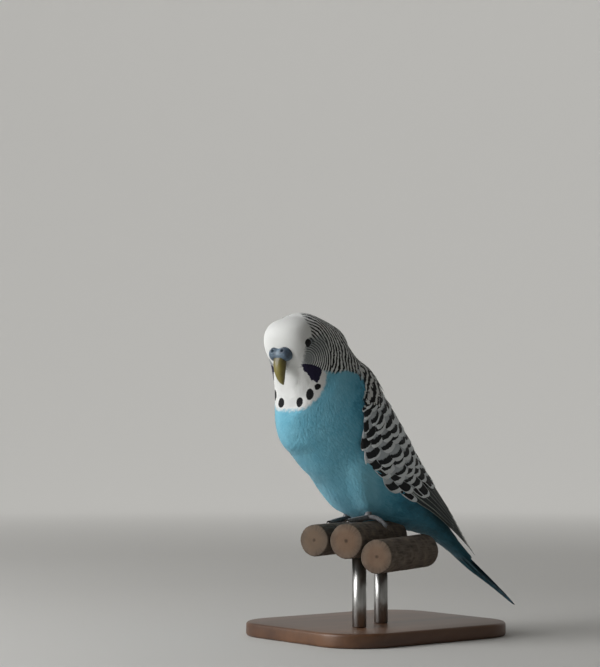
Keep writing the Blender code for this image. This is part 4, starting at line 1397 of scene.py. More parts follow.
    def scatter(
        self, start: float, stop: float, spacing: np.ndarray, rng: Random
    ) -> tuple[np.ndarray, np.ndarray]:
        """Set roots in staggered rows, closer where the feathers are smaller.

        Args:
            start: The first section.
            stop: The last section.
            spacing: Rows of a section and the distance between roots there.
            rng: The seeded random source.

        Returns:
            The roots' sections and angles.
        """
        fine = np.linspace(start, stop, 600)
        ring = np.linspace(0, 2 * np.pi, 49)
        places = self.body.surface(fine[:, None], ring[None, :], 0.0)
        along = np.linalg.norm(np.diff(places, axis=0), axis=-1).mean(1)
        round_ = np.linalg.norm(np.diff(places, axis=1), axis=-1).sum(1)
        rows = np.concatenate([[0.0], np.cumsum(along / np.interp(fine[:-1], *spacing.T))])
        all_t, all_theta = [], []
        for k in range(int(rows[-1])):
            t = np.interp(k + 0.5, rows, fine)
            gap = float(np.interp(t, *spacing.T))
            count = max(8, int(np.interp(t, fine, round_) / gap))
            theta = (np.arange(count) + 0.5 * (k % 2) + rng.uniform(-0.3, 0.3, count)) / count
            all_theta.append(theta * 2 * np.pi)
            all_t.append(t + rng.uniform(-0.35, 0.35, count) * gap / 9.0)
        return np.concatenate(all_t), np.concatenate(all_theta)

    def clear_of_eyes(self, t: np.ndarray, theta: np.ndarray, reach: float) -> np.ndarray:
        """True where a root is at least reach from both eyes.

        Args:
            t: Section numbers.
            theta: Angles from the back, in radians.
            reach: Millimetres.

        Returns:
            True or false a root.
        """
        points = self.body.surface(t, theta, 0.0)
        clear = np.ones(len(t), bool)
        for side in Side:
            fore, up, out = self.eye_front
            eye = self.body.head_point(fore, up, side.value * out)
            clear &= np.linalg.norm(points - eye, axis=-1) > reach
        return clear

    def build_coat(self, stretch: Stretch, plan: Vane, rng: Random) -> None:
        """Lay the feathers of one stretch of the body and make its pieces.

        Args:
            stretch: Its sizes.
            plan: The kind of feather.
            rng: The seeded random source.
        """
        gap, size, lift = (np.array(v) for v in (stretch.gap, stretch.size, stretch.lift))
        start, stop = gap[0, 0] if stretch.start is None else stretch.start, gap[-1, 0]
        t, theta = self.scatter(start, stop, gap, rng)
        keep = self.clear_of_eyes(t, theta, self.eye_clear)
        keep &= ~self.covered(t, theta, self.under_wing)
        t, theta = t[keep], theta[keep]
        count = len(t)
        swell = self.body.thigh_swell(t, theta) / self.body.thigh_rise
        long = np.interp(t, size[:, 0], size[:, 1]) * rng.uniform(0.82, 1.18, count)
        wide = np.interp(t, size[:, 0], size[:, 2]) * rng.uniform(0.85, 1.15, count)
        sign = np.sign(np.sin(theta))
        lie = Lie(
            at=t,
            across=theta,
            turn=rng.normal(0.0, 0.11, count) + sign * 0.35 * swell,
            length=long * (1 + 0.35 * swell),
            width=wide,
            root_lift=-self.depth(t) - 0.08,
            tip_lift=self.tip_height(t, theta, lift) + rng.uniform(-0.011, 0.011, count) * long,
            roll=rng.normal(0.0, 0.005, count) * long,
        )
        share = int(math.ceil(count * len(plan.template()[3]) / self.most_faces))
        for k in range(share):
            mask = np.arange(count) % share == k
            name = f"{stretch.name}_{k + 1}" if share > 1 else stretch.name
            self.make_piece(name, plan, lie.kept(mask), rng)

    def tip_height(self, t: np.ndarray, theta: np.ndarray, lift: np.ndarray) -> np.ndarray:
        """Heights of the tips, raised where they lie over the shoulder of the wing.

        Args:
            t: Section numbers.
            theta: Angles from the back, in radians.
            lift: Rows of a section and a height.

        Returns:
            Heights over the solids' surface.
        """
        degrees = np.degrees(from_back(theta))
        shoulder = np.exp(-(((t - 8.6) / 0.8) ** 2)) * smooth(12.0, 25.0, degrees)
        shoulder = shoulder * (1 - smooth(62.0, 90.0, degrees))
        return np.interp(t, lift[:, 0], lift[:, 1]) + 1.2 * shoulder

    def fringe(self, rng: Random) -> None:
        """Flank feathers that lie over the front and lower edge of each folded wing.

        Args:
            rng: The seeded random source.
        """
        rows = []
        known = self.body.along_back(np.linspace(7.0, 18.0, 200))
        for side in Side:
            for row in range(self.flank_rows):
                for share in np.linspace(0.12, 0.60, 50):
                    share = share + rng.uniform(-0.004, 0.004)
                    along = self.wing.ends[0] + share * (self.wing.ends[1] - self.wing.ends[0])
                    lower = float(self.wing.limits(np.array([along]))[1][0])
                    t = np.interp(-along, -known, np.linspace(7.0, 18.0, 200))
                    degrees = lower + 4.0 + 5.0 * row + rng.uniform(-1.5, 1.5)
                    free = float(smooth(0.05, 0.3, share))
                    rows.append(
                        (
                            t - 0.12 * row,
                            side.value * math.radians(degrees),
                            -side.value * rng.uniform(0.28, 0.5) * free,
                            rng.uniform(5.0, 6.5) + 2.5 * free,
                            rng.uniform(1.5, 2.1),
                            -0.9,
                            0.5 + 0.7 * free - 0.25 * row + rng.uniform(-0.15, 0.15),
                            0.0,
                        )
                    )
        self.make_piece("coat_flank", self.soft, Lie(*np.array(rows).T), rng)

    def mantle(self, rng: Random) -> None:
        """Barred shoulder feathers that lie over the start of both wings.

        Args:
            rng: The seeded random source.
        """
        rows = []
        for row in range(self.mantle_rows):
            for degrees in np.arange(-64.0, 64.1, 2.3):
                degrees = degrees + rng.uniform(-1.0, 1.0)
                side = smooth(0.0, 30.0, abs(degrees)) * math.copysign(1.0, degrees)
                over_wing = smooth(8.0, 32.0, abs(degrees))
                rows.append(
                    (
                        7.95 + 0.24 * row + rng.uniform(-0.1, 0.1),
                        math.radians(degrees),
                        0.12 * side + rng.normal(0.0, 0.1),
                        rng.uniform(5.5, 9.0),
                        rng.uniform(1.8, 2.5),
                        -0.3,
                        0.3 + (1.0 + 0.12 * row) * over_wing + rng.uniform(-0.1, 0.2),
                        0.0,
                    )
                )
        self.make_piece("coat_mantle", self.soft, Lie(*np.array(rows).T), rng)

    def make_piece(self, name: str, plan: Vane, lie: Lie, rng: Random) -> None:
        """Make one coat piece.

        Args:
            name: Its name.
            plan: The kind of feather.
            lie: Where they lie on the body's chart.
            rng: The seeded random source.
        """
        laid = lay_vanes(plan, lie, self.body.surface)
        t = np.minimum(laid["at"], 20.0)
        points = self.raised(t, laid["across"], laid["out"])
        fields = self.fields(t, laid["across"])
        fields["tone"] = rng.uniform(0.0, 1.0, len(lie.at))[laid["number"]]
        centre = np.stack([(lie.across / (2 * np.pi)) % 1.0, self.map_height(lie.at)], -1)
        softness = np.where(laid["top"] > 0.5, np.interp(t, (0.0, 5.0, 9.0), (0.9, 0.86, 0.82)), 0.0)
        piece = mesh_piece(
            name,
            points,
            [laid["faces"]],
            self.material,
            {"OFBake": patch_map(laid, centre, (self.patch, self.patch))},
            fields,
            (outward(self.body.surface, t, laid["across"]), softness),
        )
        declare(piece, "blue_plumage")

    def build(self) -> None:
        """Make the skin and the whole coat."""
        self.build_skin()
        rng = np.random.default_rng(SEED)
        face = Vane(rows=4, thick=0.02, camber=0.01, hook=0.5)
        for stretch in self.coat:
            fine = stretch.name in ("coat_face", "coat_head")
            self.build_coat(stretch, face if fine else self.soft, rng)
        self.fringe(rng)
        self.mantle(rng)


@dataclass
class WingPlumage:
    """The folded wings: coverts in tiers, inner flight feathers and primaries."""

    form: WingForm
    covert: Material
    flight: Material
    tiers: int = 14
    first_tip: float = 0.045
    tier_step: float = 0.0355
    row_bow: float = 0.11
    # How far a band bends up at a feather's sides, by the feather's width
    band_bend: float = 0.2
    primaries: int = 9
    inner: int = 9
    # Where the primaries and the inner feathers grow, as shares of the wing's length
    roots: tuple[float, float] = (0.44, 0.42)
    # The pale side and tip of a flight feather, in millimetres
    flight_rims: tuple[float, float] = (0.32, 0.4)

    @property
    def length(self) -> float:
        """The wing chart's length in millimetres."""
        return self.form.ends[0] - self.form.ends[1]

    def height(self, along: np.ndarray, across: np.ndarray) -> np.ndarray:
        """How high the outermost feathers stand over the body, by place on the wing.

        Args:
            along: Places along the chart.
            across: Places across it.

        Returns:
            Millimetres.
        """
        edge = np.sin(np.pi * np.clip(np.asarray(across, float), 0.03, 0.97)) ** 0.5
        along = np.asarray(along, float)
        arm = smooth(-0.02, 0.2, along) * (1 - 0.62 * smooth(0.42, 0.95, along))
        return 0.3 + 1.75 * arm * (0.25 + 0.75 * edge)

    def arm(self, side: Side) -> None:
        """The arm and hand under the feathers, one closed thin shell.

        Args:
            side: The bird's side.
        """
        surface = self.form.chart(side)
        along, across = np.linspace(0.05, 0.68, 60), np.linspace(0.1, 0.86, 26)
        rings = []
        for place in along:
            thick = self.height(place, across) * 0.55
            outer = surface(np.full_like(across, place), across, thick)
            inner = surface(np.full_like(across, place), across, -0.1)
            rings.append(np.concatenate([outer, inner[::-1]]))
        points, faces = loft_arrays(np.array(rings))
        count, sides = len(along), 2 * len(across)
        v = np.repeat(np.linspace(0.0, 1.0, count), sides)
        u = np.tile(np.linspace(0.0, 1.0, sides), count)
        flat = np.concatenate([np.stack([u, v], -1), [[0.5, -0.01], [0.5, 1.01]]])
        size = len(points)
        fields = {
            "side_rim": np.full(size, FAR), "tip_rim": np.full(size, FAR),
            "tone": np.zeros(size), "u": np.full(size, 0.5), "band": np.full(size, ENDLESS),
        }
        piece = mesh_piece(
            f"wing_arm_{side.word}", points, faces, self.covert, {"OFBake": flat}, fields
        )
        declare(piece, "barred_plumage", f"wing_{side.word}")

    def vanes(
        self, name: str, side: Side, plan: Vane, lie: Lie, material: Material,
        cell: tuple[float, float], tone: np.ndarray, rims: np.ndarray, soft: float,
    ) -> None:
        """Make one piece of vanes, each with its rim distances.

        Args:
            name: The piece's name.
            side: The wing's side.
            plan: The kind of feather.
            lie: Where they lie on the wing's chart.
            material: Their material.
            cell: The width and height of each one's patch of the map.
            tone: One number a feather.
            rims: The widths of the pale side, the pale tip and the dark band, one row a feather.
            soft: How far the normals lean to the wing's surface.
        """
        surface = self.form.chart(side)
        laid = lay_vanes(plan, lie, surface)
        points = surface(laid["at"], laid["across"], laid["out"])
        half = plan.half(laid["v"])
        n = laid["number"]
        reach = (1 - np.abs(laid["u"])) * half * lie.width[n] / 2
        fields = {
            "side_rim": reach - rims[n, 0],
            # The band curves with the feather's round tip.
            "tip_rim": (1 - laid["v"]) * lie.length[n]
            - rims[n, 1]
            - self.band_bend * lie.width[n] * laid["u"] ** 2,
            "band": rims[n, 2],
            "tone": tone[n],
            "u": laid["u"],
        }
        faces = laid["faces"]
        if side is Side.RIGHT:
            faces = faces[:, ::-1]
        centre = np.stack([0.05 + 0.9 * lie.across, 0.05 + 0.85 * lie.at], -1)
        maps = {"OFBake": patch_map(laid, centre, cell)}
        lean = outward(surface, laid["at"], laid["across"])
        soften = (lean, np.where(laid["top"] > 0.5, soft, 0.0))
        piece = mesh_piece(
            f"{name}_{side.word}", points, [faces], material, maps, fields, soften
        )
        declare(piece, "barred_plumage")

    def coverts(self, side: Side) -> None:
        """The scalloped coverts, in tiers from the shoulder back.

        Args:
            side: The bird's side.
        """
        rng = np.random.default_rng(SEED + 11)
        rows, rims = [], []
        for tier in range(self.tiers + 1):
            late = max(0.0, (tier - self.tiers + 2) / 2)
            grown = min(1.0, tier / 6)
            tip = self.first_tip + self.tier_step * tier + 0.02 * (tier == self.tiers)
            long = (6.0 + 5.5 * grown) * (1 + 0.25 * late)
            wide = (4.2 + 4.4 * grown) * (1 - 0.36 * late)
            place = self.form.ends[0] - tip * self.length
            upper, lower = self.form.limits(np.array([place]))
            girth = float(lower[0] - upper[0]) * math.pi / 180 * 20.0
            count = max(4, int(round(girth / (wide * 0.7))))
            for k in range(count + 1):
                across = (k + (0.5 if tier % 2 else 0.0)) / count
                if across > 1.0:
                    continue
                bow = self.row_bow * (across - 0.45) ** 2 * grown
                end = tip - bow + rng.uniform(-0.009, 0.009) * (1 - 0.6 * late)
                at = end - long / self.length
                front = max(0.0, across - 0.8) / 0.2
                here = 0.015 + 0.965 * across + rng.uniform(-0.012, 0.012)
                rows.append(
                    (
                        at,
                        here,
                        rng.normal(0.0, 0.09) + 0.12 * (0.5 - across),
                        long * rng.uniform(0.95, 1.05),
                        wide * (1 - 0.3 * front * (tier > 3)) * rng.uniform(0.9, 1.1),
                        float(self.height(at, here)) * 0.55,
                        float(self.height(end, here)) + rng.uniform(-0.06, 0.08),
                        0.10,
                    )
                )
                side_pale = 0.04 * grown + 0.34 * late + rng.uniform(-0.06, 0.08)
                tip_pale = (1.05 + 0.6 * grown) * rng.uniform(0.85, 1.15)
                band = (1.5 + 0.65 * grown) * rng.uniform(0.8, 1.3) + 3.6 * late
                if tier < 9:
                    # Along the front edge the feathers are plain dark with a thin rim
                    rims.append((side_pale, tip_pale * (1 - 0.65 * front), band + 2.5 * front))
                else:
                    rims.append((side_pale + 0.2 * front, tip_pale + 0.6 * front, band + 2.0 * front))
        # Two pale wisps stand off the wing's front edge
        wisps = ((0.16, 0.985, 0.24, 11.5, 0.7, 1.4), (0.25, 0.99, -0.12, 9.0, 0.6, 1.8))
        for at, across, turn, long, wide, rise in wisps:
            rows.append((at, across, turn, long, wide, 0.6, rise, 0.0))
            rims.append((FAR, FAR, 0.0))
        lie = Lie(*np.array(rows).T)
        plan = Vane(
            rows=9,
            columns=5,
            outline=((0.0, 0.45), (0.3, 0.85), (0.6, 1.0), (0.8, 0.97), (0.93, 0.78), (1.0, 0.4)),
            thick=0.12,
            camber=0.2,
            hook=1.2,
        )
        tone = rng.uniform(0.0, 1.0, len(lie.at))
        rims = np.array(rims)
        self.vanes(
            "coverts", side, plan, lie, self.covert, (0.055, 0.05), tone, rims, 0.5
        )

    def flights(self, side: Side) -> None:
        """Primaries, and the inner flight feathers that lie over them.

        Args:
            side: The bird's side.
        """
        rng = np.random.default_rng(SEED + 12)
        rows = []
        root, inner_root = self.roots
        for k in range(self.primaries):
            share = k / (self.primaries - 1)
            tip = 1.0 - 0.24 * share
            across = 0.93 - 0.56 * share
            end = 0.80 - 0.52 * share
            turn = math.atan2((end - across) * 15.0, (tip - root) * self.length)
            rows.append(
                (root, across, turn, (tip - root) * self.length, 5.2,
                 0.55 + 0.07 * k, 0.25 + 0.10 * k, 0.12)
            )
        for k in range(self.inner):
            share = k / (self.inner - 1)
            tip = 0.79 - 0.10 * share
            across = 0.84 - 0.74 * share
            rows.append(
                (inner_root, across, 0.0, (tip - inner_root) * self.length, 5.2 - 0.6 * share,
                 0.8, 0.95 + 0.04 * k, 0.14)
            )
        lie = Lie(*np.array(rows).T)
        plan = Vane(
            rows=18,
            columns=7,
            outline=((0.0, 0.6), (0.2, 0.9), (0.6, 1.0), (0.86, 0.86), (0.95, 0.6), (1.0, 0.22)),
            thick=0.14,
            camber=0.14,
            hook=1.0,
        )
        tone = rng.uniform(0.1, 0.8, len(lie.at))
        rims = np.tile([*self.flight_rims, ENDLESS], (len(lie.at), 1))
        self.vanes("flights", side, plan, lie, self.flight, (0.05, 0.18), tone, rims, 0.3)

    def build(self) -> None:
        """Dress both wings."""
        for side in Side:
            self.arm(side)
            self.coverts(side)
            self.flights(side)


@dataclass
class TailPlumage:
    """Twelve tail feathers, stepped from the long middle pair out."""

    form: TailForm
    material: Material
    tips: tuple[float, ...] = (1.0, 0.86, 0.75, 0.66, 0.58, 0.50)
    width: float = 5.4
    root: float = -0.06
    # How far each pair lies out and below the one before it
    pair_step: float = 0.44
    pair_drop: float = 0.34
    # The darker side and tip of a feather
    rims: tuple[float, float] = (0.25, 0.2)

    def build(self) -> None:
        """Make the tail's feathers as one piece."""
        rows, tones = [], []
        for pair, tip in enumerate(self.tips):
            for side in (-1.0, 1.0):
                place = side * (0.45 + self.pair_step * pair) * 0.9
                end = side * (0.45 + self.pair_step * pair) * (0.75 if pair else 0.5)
                long = (tip - self.root) * self.form.length
                low = -self.pair_drop * pair - (0.14 if side > 0 else 0.0)
                rows.append(
                    (self.root, place, math.atan2(end - place, long), long, self.width - 0.4 * pair,
                     low + 0.3, low + 0.15, -0.06 * side)
                )
                # Outer pairs take more of the painted sheen
                tones.append(0.15 + 0.12 * pair)
        lie = Lie(*np.array(rows).T)
        plan = Vane(
            rows=22,
            columns=7,
            outline=((0.0, 0.7), (0.3, 1.0), (0.62, 0.92), (0.85, 0.66), (0.96, 0.36), (1.0, 0.1)),
            thick=0.3,
            camber=0.3,
            hook=1.0,
        )
        laid = lay_vanes(plan, lie, self.form.surface)
        points = self.form.surface(laid["at"], laid["across"], laid["out"])
        half = plan.half(laid["v"])
        n = laid["number"]
        fields = {
            "side_rim": (1 - np.abs(laid["u"])) * half * lie.width[n] / 2 - self.rims[0],
            "tip_rim": (1 - laid["v"]) * lie.length[n] - self.rims[1],
            "band": np.full(len(points), ENDLESS),
            "tone": np.array(tones)[n],
            "u": laid["u"],
        }
        centre = np.stack([(np.arange(12) + 0.5) / 12, np.full(12, 0.5)], -1)
        maps = {"OFBake": patch_map(laid, centre, (0.075, 0.85))}
        piece = mesh_piece("tail_feathers", points, [laid["faces"]], self.material, maps, fields)
        declare(piece, "tail_plumage", "tail")


@dataclass
class Face:
    """The eyes with their lids, the cere and the bill."""

    body: BodyForm
    eye: Material
    lid: Material
    cere_skin: Material
    horn: Material
    eye_place: tuple[float, float, float] = (4.9, 0.9, 9.3)
    eye_radius: float = 2.4
    lid_radius: float = 1.24
    lid_thick: float = 0.22
    culmen: tuple = (
        (13.0, -1.6), (15.0, -4.6), (15.9, -8.0), (15.7, -10.9), (14.8, -13.3), (13.5, -14.9),
    )
    palate: tuple = (
        (8.2, -1.6), (9.6, -4.6), (11.0, -8.0), (12.1, -10.7), (12.8, -13.0), (13.0, -14.5),
    )
    bill_widths: tuple = (2.8, 2.85, 2.6, 2.0, 1.25, 0.35)
    chin: tuple = ((6.2, -6.6), (6.6, -8.2), (7.1, -9.3))
    chin_widths: tuple = (1.45, 1.3, 0.9)
    # Each lobe of the cere: fore, up, side and its radii across, deep and high
    lobes: tuple = ((10.7, -2.1, 2.6, 3.1, 3.1, 3.2), (11.4, -2.9, 0.0, 2.5, 2.5, 3.1))
    # The nostrils: fore, up, side and radius
    nostril: tuple[float, float, float, float] = (13.5, 0.1, 2.5, 0.72)

    def eyes(self) -> None:
        """Both eyes, each with its ring of lids."""
        for side in Side:
            fore, up, out = self.eye_place
            centre = self.body.head_point(fore, up, side.value * out)
            ball = ball_rays(np.linspace(0.06, math.pi - 0.06, 30), 40)
            points, faces = loft_arrays(centre + ball * self.eye_radius)
            piece = mesh_piece(f"eyeball_{side.word}", points, faces, self.eye)
            declare(piece, "eye", f"eye_{side.word}")
            self.lids(side)

    def lids(self, side: Side) -> None:
        """One ring of lids, a slightly beaded torus round the eye.

        Args:
            side: The bird's side.
        """
        fore, up, out = self.eye_place
        centre = self.body.head_point(fore, up, side.value * (out + 1.92))
        outward = unit(self.body.head_point(fore + 0.25, up, side.value * (out + 2.92)) - centre)
        first = unit(np.cross(outward, (0.0, 0.0, 1.0)))
        second = np.cross(outward, first)
        steps, sides = 72, 12
        a, b = turns(steps), turns(sides)
        way = np.cos(a)[:, None] * first + np.sin(a)[:, None] * second
        bead = 1 + 0.08 * np.cos(a * 24)
        # The opening is a little longer than high.
        reach = self.lid_radius * (1 - 0.08 * np.abs(np.sin(a)))
        rings = (
            centre
            + way[:, None] * reach[:, None, None]
            + self.lid_thick
            * bead[:, None, None]
            * (
                np.cos(b)[None, :, None] * way[:, None]
                + np.sin(b)[None, :, None] * outward
            )
        )
        faces = ring_faces(steps, sides, True)
        if side is Side.LEFT:
            faces = faces[:, ::-1]
        piece = mesh_piece(f"lids_{side.word}", rings.reshape(-1, 3), [faces], self.lid)
        declare(piece, "cere_skin")

    def bill_ring(
        self, front: np.ndarray, back: np.ndarray, half: float, sides: int
    ) -> np.ndarray:
        """One ring of the upper bill, ridged in front.

        Args:
            front: Fore and up of its front.
            back: Fore and up of its back.
            half: Half its width.
            sides: How many points.

        Returns:
            The points.
        """
        angle = turns(sides)
        middle, reach = (front + back) / 2, (front - back) / 2
        share = np.where(np.cos(angle) > 0, np.cos(angle), 0.9 * np.cos(angle))
        side = half * np.abs(np.sin(angle)) ** 0.8 * np.sign(np.sin(angle))
        place = middle[:, None] + reach[:, None] * share
        return self.body.head_point(place[0], place[1], side)

    def bill(self) -> None:
        """The hooked upper bill and the small lower one."""
        at = np.linspace(0, len(self.culmen) - 1, 44)
        places = np.arange(len(self.culmen))
        front, back = spline(places, self.culmen, at), spline(places, self.palate, at)
        half, sides = spline(places, self.bill_widths, at), 40
        rings = np.array([self.bill_ring(f, b, w, sides) for f, b, w in zip(front, back, half)])
        points, faces = loft_arrays(rings)
        down = np.repeat(at / at[-1], sides)
        # How far each point lies towards the ring's front, where the painted highlight runs
        ridge = np.tile(np.cos(turns(sides)) * 0.5 + 0.5, len(at))
        fields = {
            "down": np.concatenate([down, [0.0, 1.0]]),
            "ridge": np.concatenate([ridge, [0.5, 0.5]]),
        }
        piece = mesh_piece("upper_bill", points, faces, self.horn, None, fields)
        declare(piece, "bill_horn", "bill_upper")
        at = np.linspace(0, len(self.chin) - 1, 16)
        places = np.arange(len(self.chin))
        chin, half = spline(places, self.chin, at), spline(places, self.chin_widths, at)
        deep, angle = 1.7 * half[:, None] / self.chin_widths[0], turns(28)
        fore, up, side = alike(
            chin[:, :1] + deep + deep * np.cos(angle), chin[:, 1:], half[:, None] * np.sin(angle)
        )
        points, faces = loft_arrays(self.body.head_point(fore, up, side))
        fields = {"down": np.full(len(points), 0.25), "ridge": np.full(len(points), 0.2)}
        piece = mesh_piece("lower_bill", points, faces, self.horn, None, fields)
        declare(piece, "bill_horn", "bill_lower")

    def cere(self) -> None:
        """The swollen cere: two lobes and a bridge blended, with round nostrils."""
        balls = [
            (fore, up, side * way, across, deep, high)
            for fore, up, side, across, deep, high in self.lobes
            for way in ((-1.0, 1.0) if side else (1.0,))
        ]
        ray = ball_rays(np.linspace(0.04, math.pi - 0.04, 64), 96)
        origin = np.array([10.4, -2.3, 0.0])
        # A smooth union: the distance where the blended field of the balls reaches 1.
        reach = np.linspace(0.5, 7.5, 260)
        places = origin + ray[..., None, :] * reach[:, None]
        field = np.zeros(places.shape[:-1])
        for fore, up, side, across, deep, high in balls:
            off = (places - np.array([fore, up, side])) / np.array([deep, high, across])
            field += np.exp(-3.2 * ((off**2).sum(-1) - 1.0))
        inside = field > 1.0
        last = inside.shape[-1] - 1 - np.argmax(inside[..., ::-1], axis=-1)
        distance = np.where(inside.any(-1), reach[last], 0.5)
        local = origin + ray * distance[..., None]
        fore, up, side, round_size = self.nostril
        for way in (-1.0, 1.0):
            off = np.linalg.norm(local - np.array([fore, up, way * side]), axis=-1)
            rim = 0.16 * np.exp(-(((off - 1.6 * round_size) / 0.4) ** 2))
            dent = 1.5 * np.exp(-((off / round_size) ** 4)) - rim
            local = local - np.stack([dent, 0.1 * dent, 0 * dent], -1)
        points, faces = loft_arrays(self.body.head_point(*np.moveaxis(local, -1, 0)))
        piece = mesh_piece("cere_pad", points, faces, self.cere_skin)
        declare(piece, "cere_skin", "cere")

    def build(self) -> None:
        """Make the whole face."""
        self.eyes()
        self.cere()
        self.bill()


@dataclass(frozen=True)
class PerchForm:
    """Three parallel cut logs, and the way over them."""

    body: BodyForm
    turn: float = math.radians(24.0)
    middle_start: tuple[float, float] = (21.5, -28.5)
    # Each log: radius, drop of its axis below the perch point, length, shift along the axis
    logs: tuple = ((6.7, 9.4, 45.0, -0.6), (7.5, 9.4, 46.0, 0.0), (7.2, 15.6, 48.0, 0.8))
    gap: float = 0.3

    def ends(self, log: int) -> tuple[np.ndarray, np.ndarray]:
        """The two ends of a log's axis, near end first.

        Args:
            log: The log's number, from 0.

        Returns:
            The two places.
        """
        radius, drop, length, shift = self.logs[log]
        way = np.array([-math.sin(self.turn), math.cos(self.turn)])
        across = np.array([-way[1], way[0]])
        apart = 0.0
        if log != 1:
            reach = radius + self.logs[1][0] + self.gap
            fall = drop - self.logs[1][1]
            apart = math.sqrt(reach**2 - fall**2) * (1 if log == 0 else -1)
        start = np.array(self.middle_start) + across * apart + way * shift
        near = np.array([*start, -drop]) + np.array(self.body.perch_point)
        return near, near + np.array([*way, 0.0]) * length

    def height(self, place: np.ndarray, lift: float) -> float:
        """Height of a point in plan, lift above the logs.

        Args:
            place: The point in plan.
            lift: Its height over the wood.

        Returns:
            Z in the part's frame.
        """
        best = -math.inf
        for log, (radius, *_) in enumerate(self.logs):
            near, far = self.ends(log)
            axis = unit(far - near)
            rel = place[:2] - near[:2]
            off = rel[0] * axis[1] - rel[1] * axis[0]
            if abs(off) < radius + lift:
                best = max(best, near[2] + math.sqrt((radius + lift) ** 2 - off**2))
        return best

    def off_axis(self, place: np.ndarray, log: int) -> np.ndarray:
        """The way from a log's axis straight out to a place."""
        near, far = self.ends(log)
        axis = unit(far - near)
        return (place - near) - axis * ((place - near) @ axis)

    def walk(
        self, start: np.ndarray, heading: np.ndarray, length: float, lifts: np.ndarray
    ) -> tuple[np.ndarray, np.ndarray]:
        """Follow the wood from a start.

        Args:
            start: The first point.
            heading: The first direction.
            length: How far to go.
            lifts: Height over the wood at each step.

        Returns:
            The points and the last direction.
        """
        place, heading = np.array(start, float), np.array(heading, float)
        step = length / (len(lifts) - 1)
        path = []
        for lift in lifts:
            offs = []
            for log, (radius, *_) in enumerate(self.logs):
                off = self.off_axis(place, log)
                offs.append((np.linalg.norm(off) - radius - lift, off))
            gap, off = min(offs, key=lambda item: item[0])
            normal = unit(off)
            place = place - normal * gap
            for log, (radius, *_) in enumerate(self.logs):
                off = self.off_axis(place, log)
                short = radius + lift - np.linalg.norm(off)
                if short > 0:
                    place = place + unit(off) * short
            path.append(place.copy())
            heading = unit(heading - normal * (heading @ normal))
            place = place + heading * step
        return np.array(path), heading


def tube_rings(path: np.ndarray, radii: np.ndarray, sides: int, squash: float = 1.0) -> np.ndarray:
    """Rings of a tube along a path, flattened vertically by squash.

    Args:
        path: Places along the middle.
        radii: One at each place.
        sides: The points in a ring.
        squash: Height for width.

    Returns:
        The rings, point by point.
    """
    along = unit(np.gradient(path, axis=0))
    angle = turns(sides)
    rings = []
    side = np.cross(along[0], (0.0, 0.0, 1.0) if abs(along[0][2]) < 0.9 else (1.0, 0.0, 0.0))
    for place, way, radius in zip(path, along, radii):
        side = unit(side - way * (side @ way))
        other = np.cross(way, side)
        circle = np.cos(angle)[:, None] * side + squash * np.sin(angle)[:, None] * other
        rings.append(place + circle * radius)
    return np.array(rings)


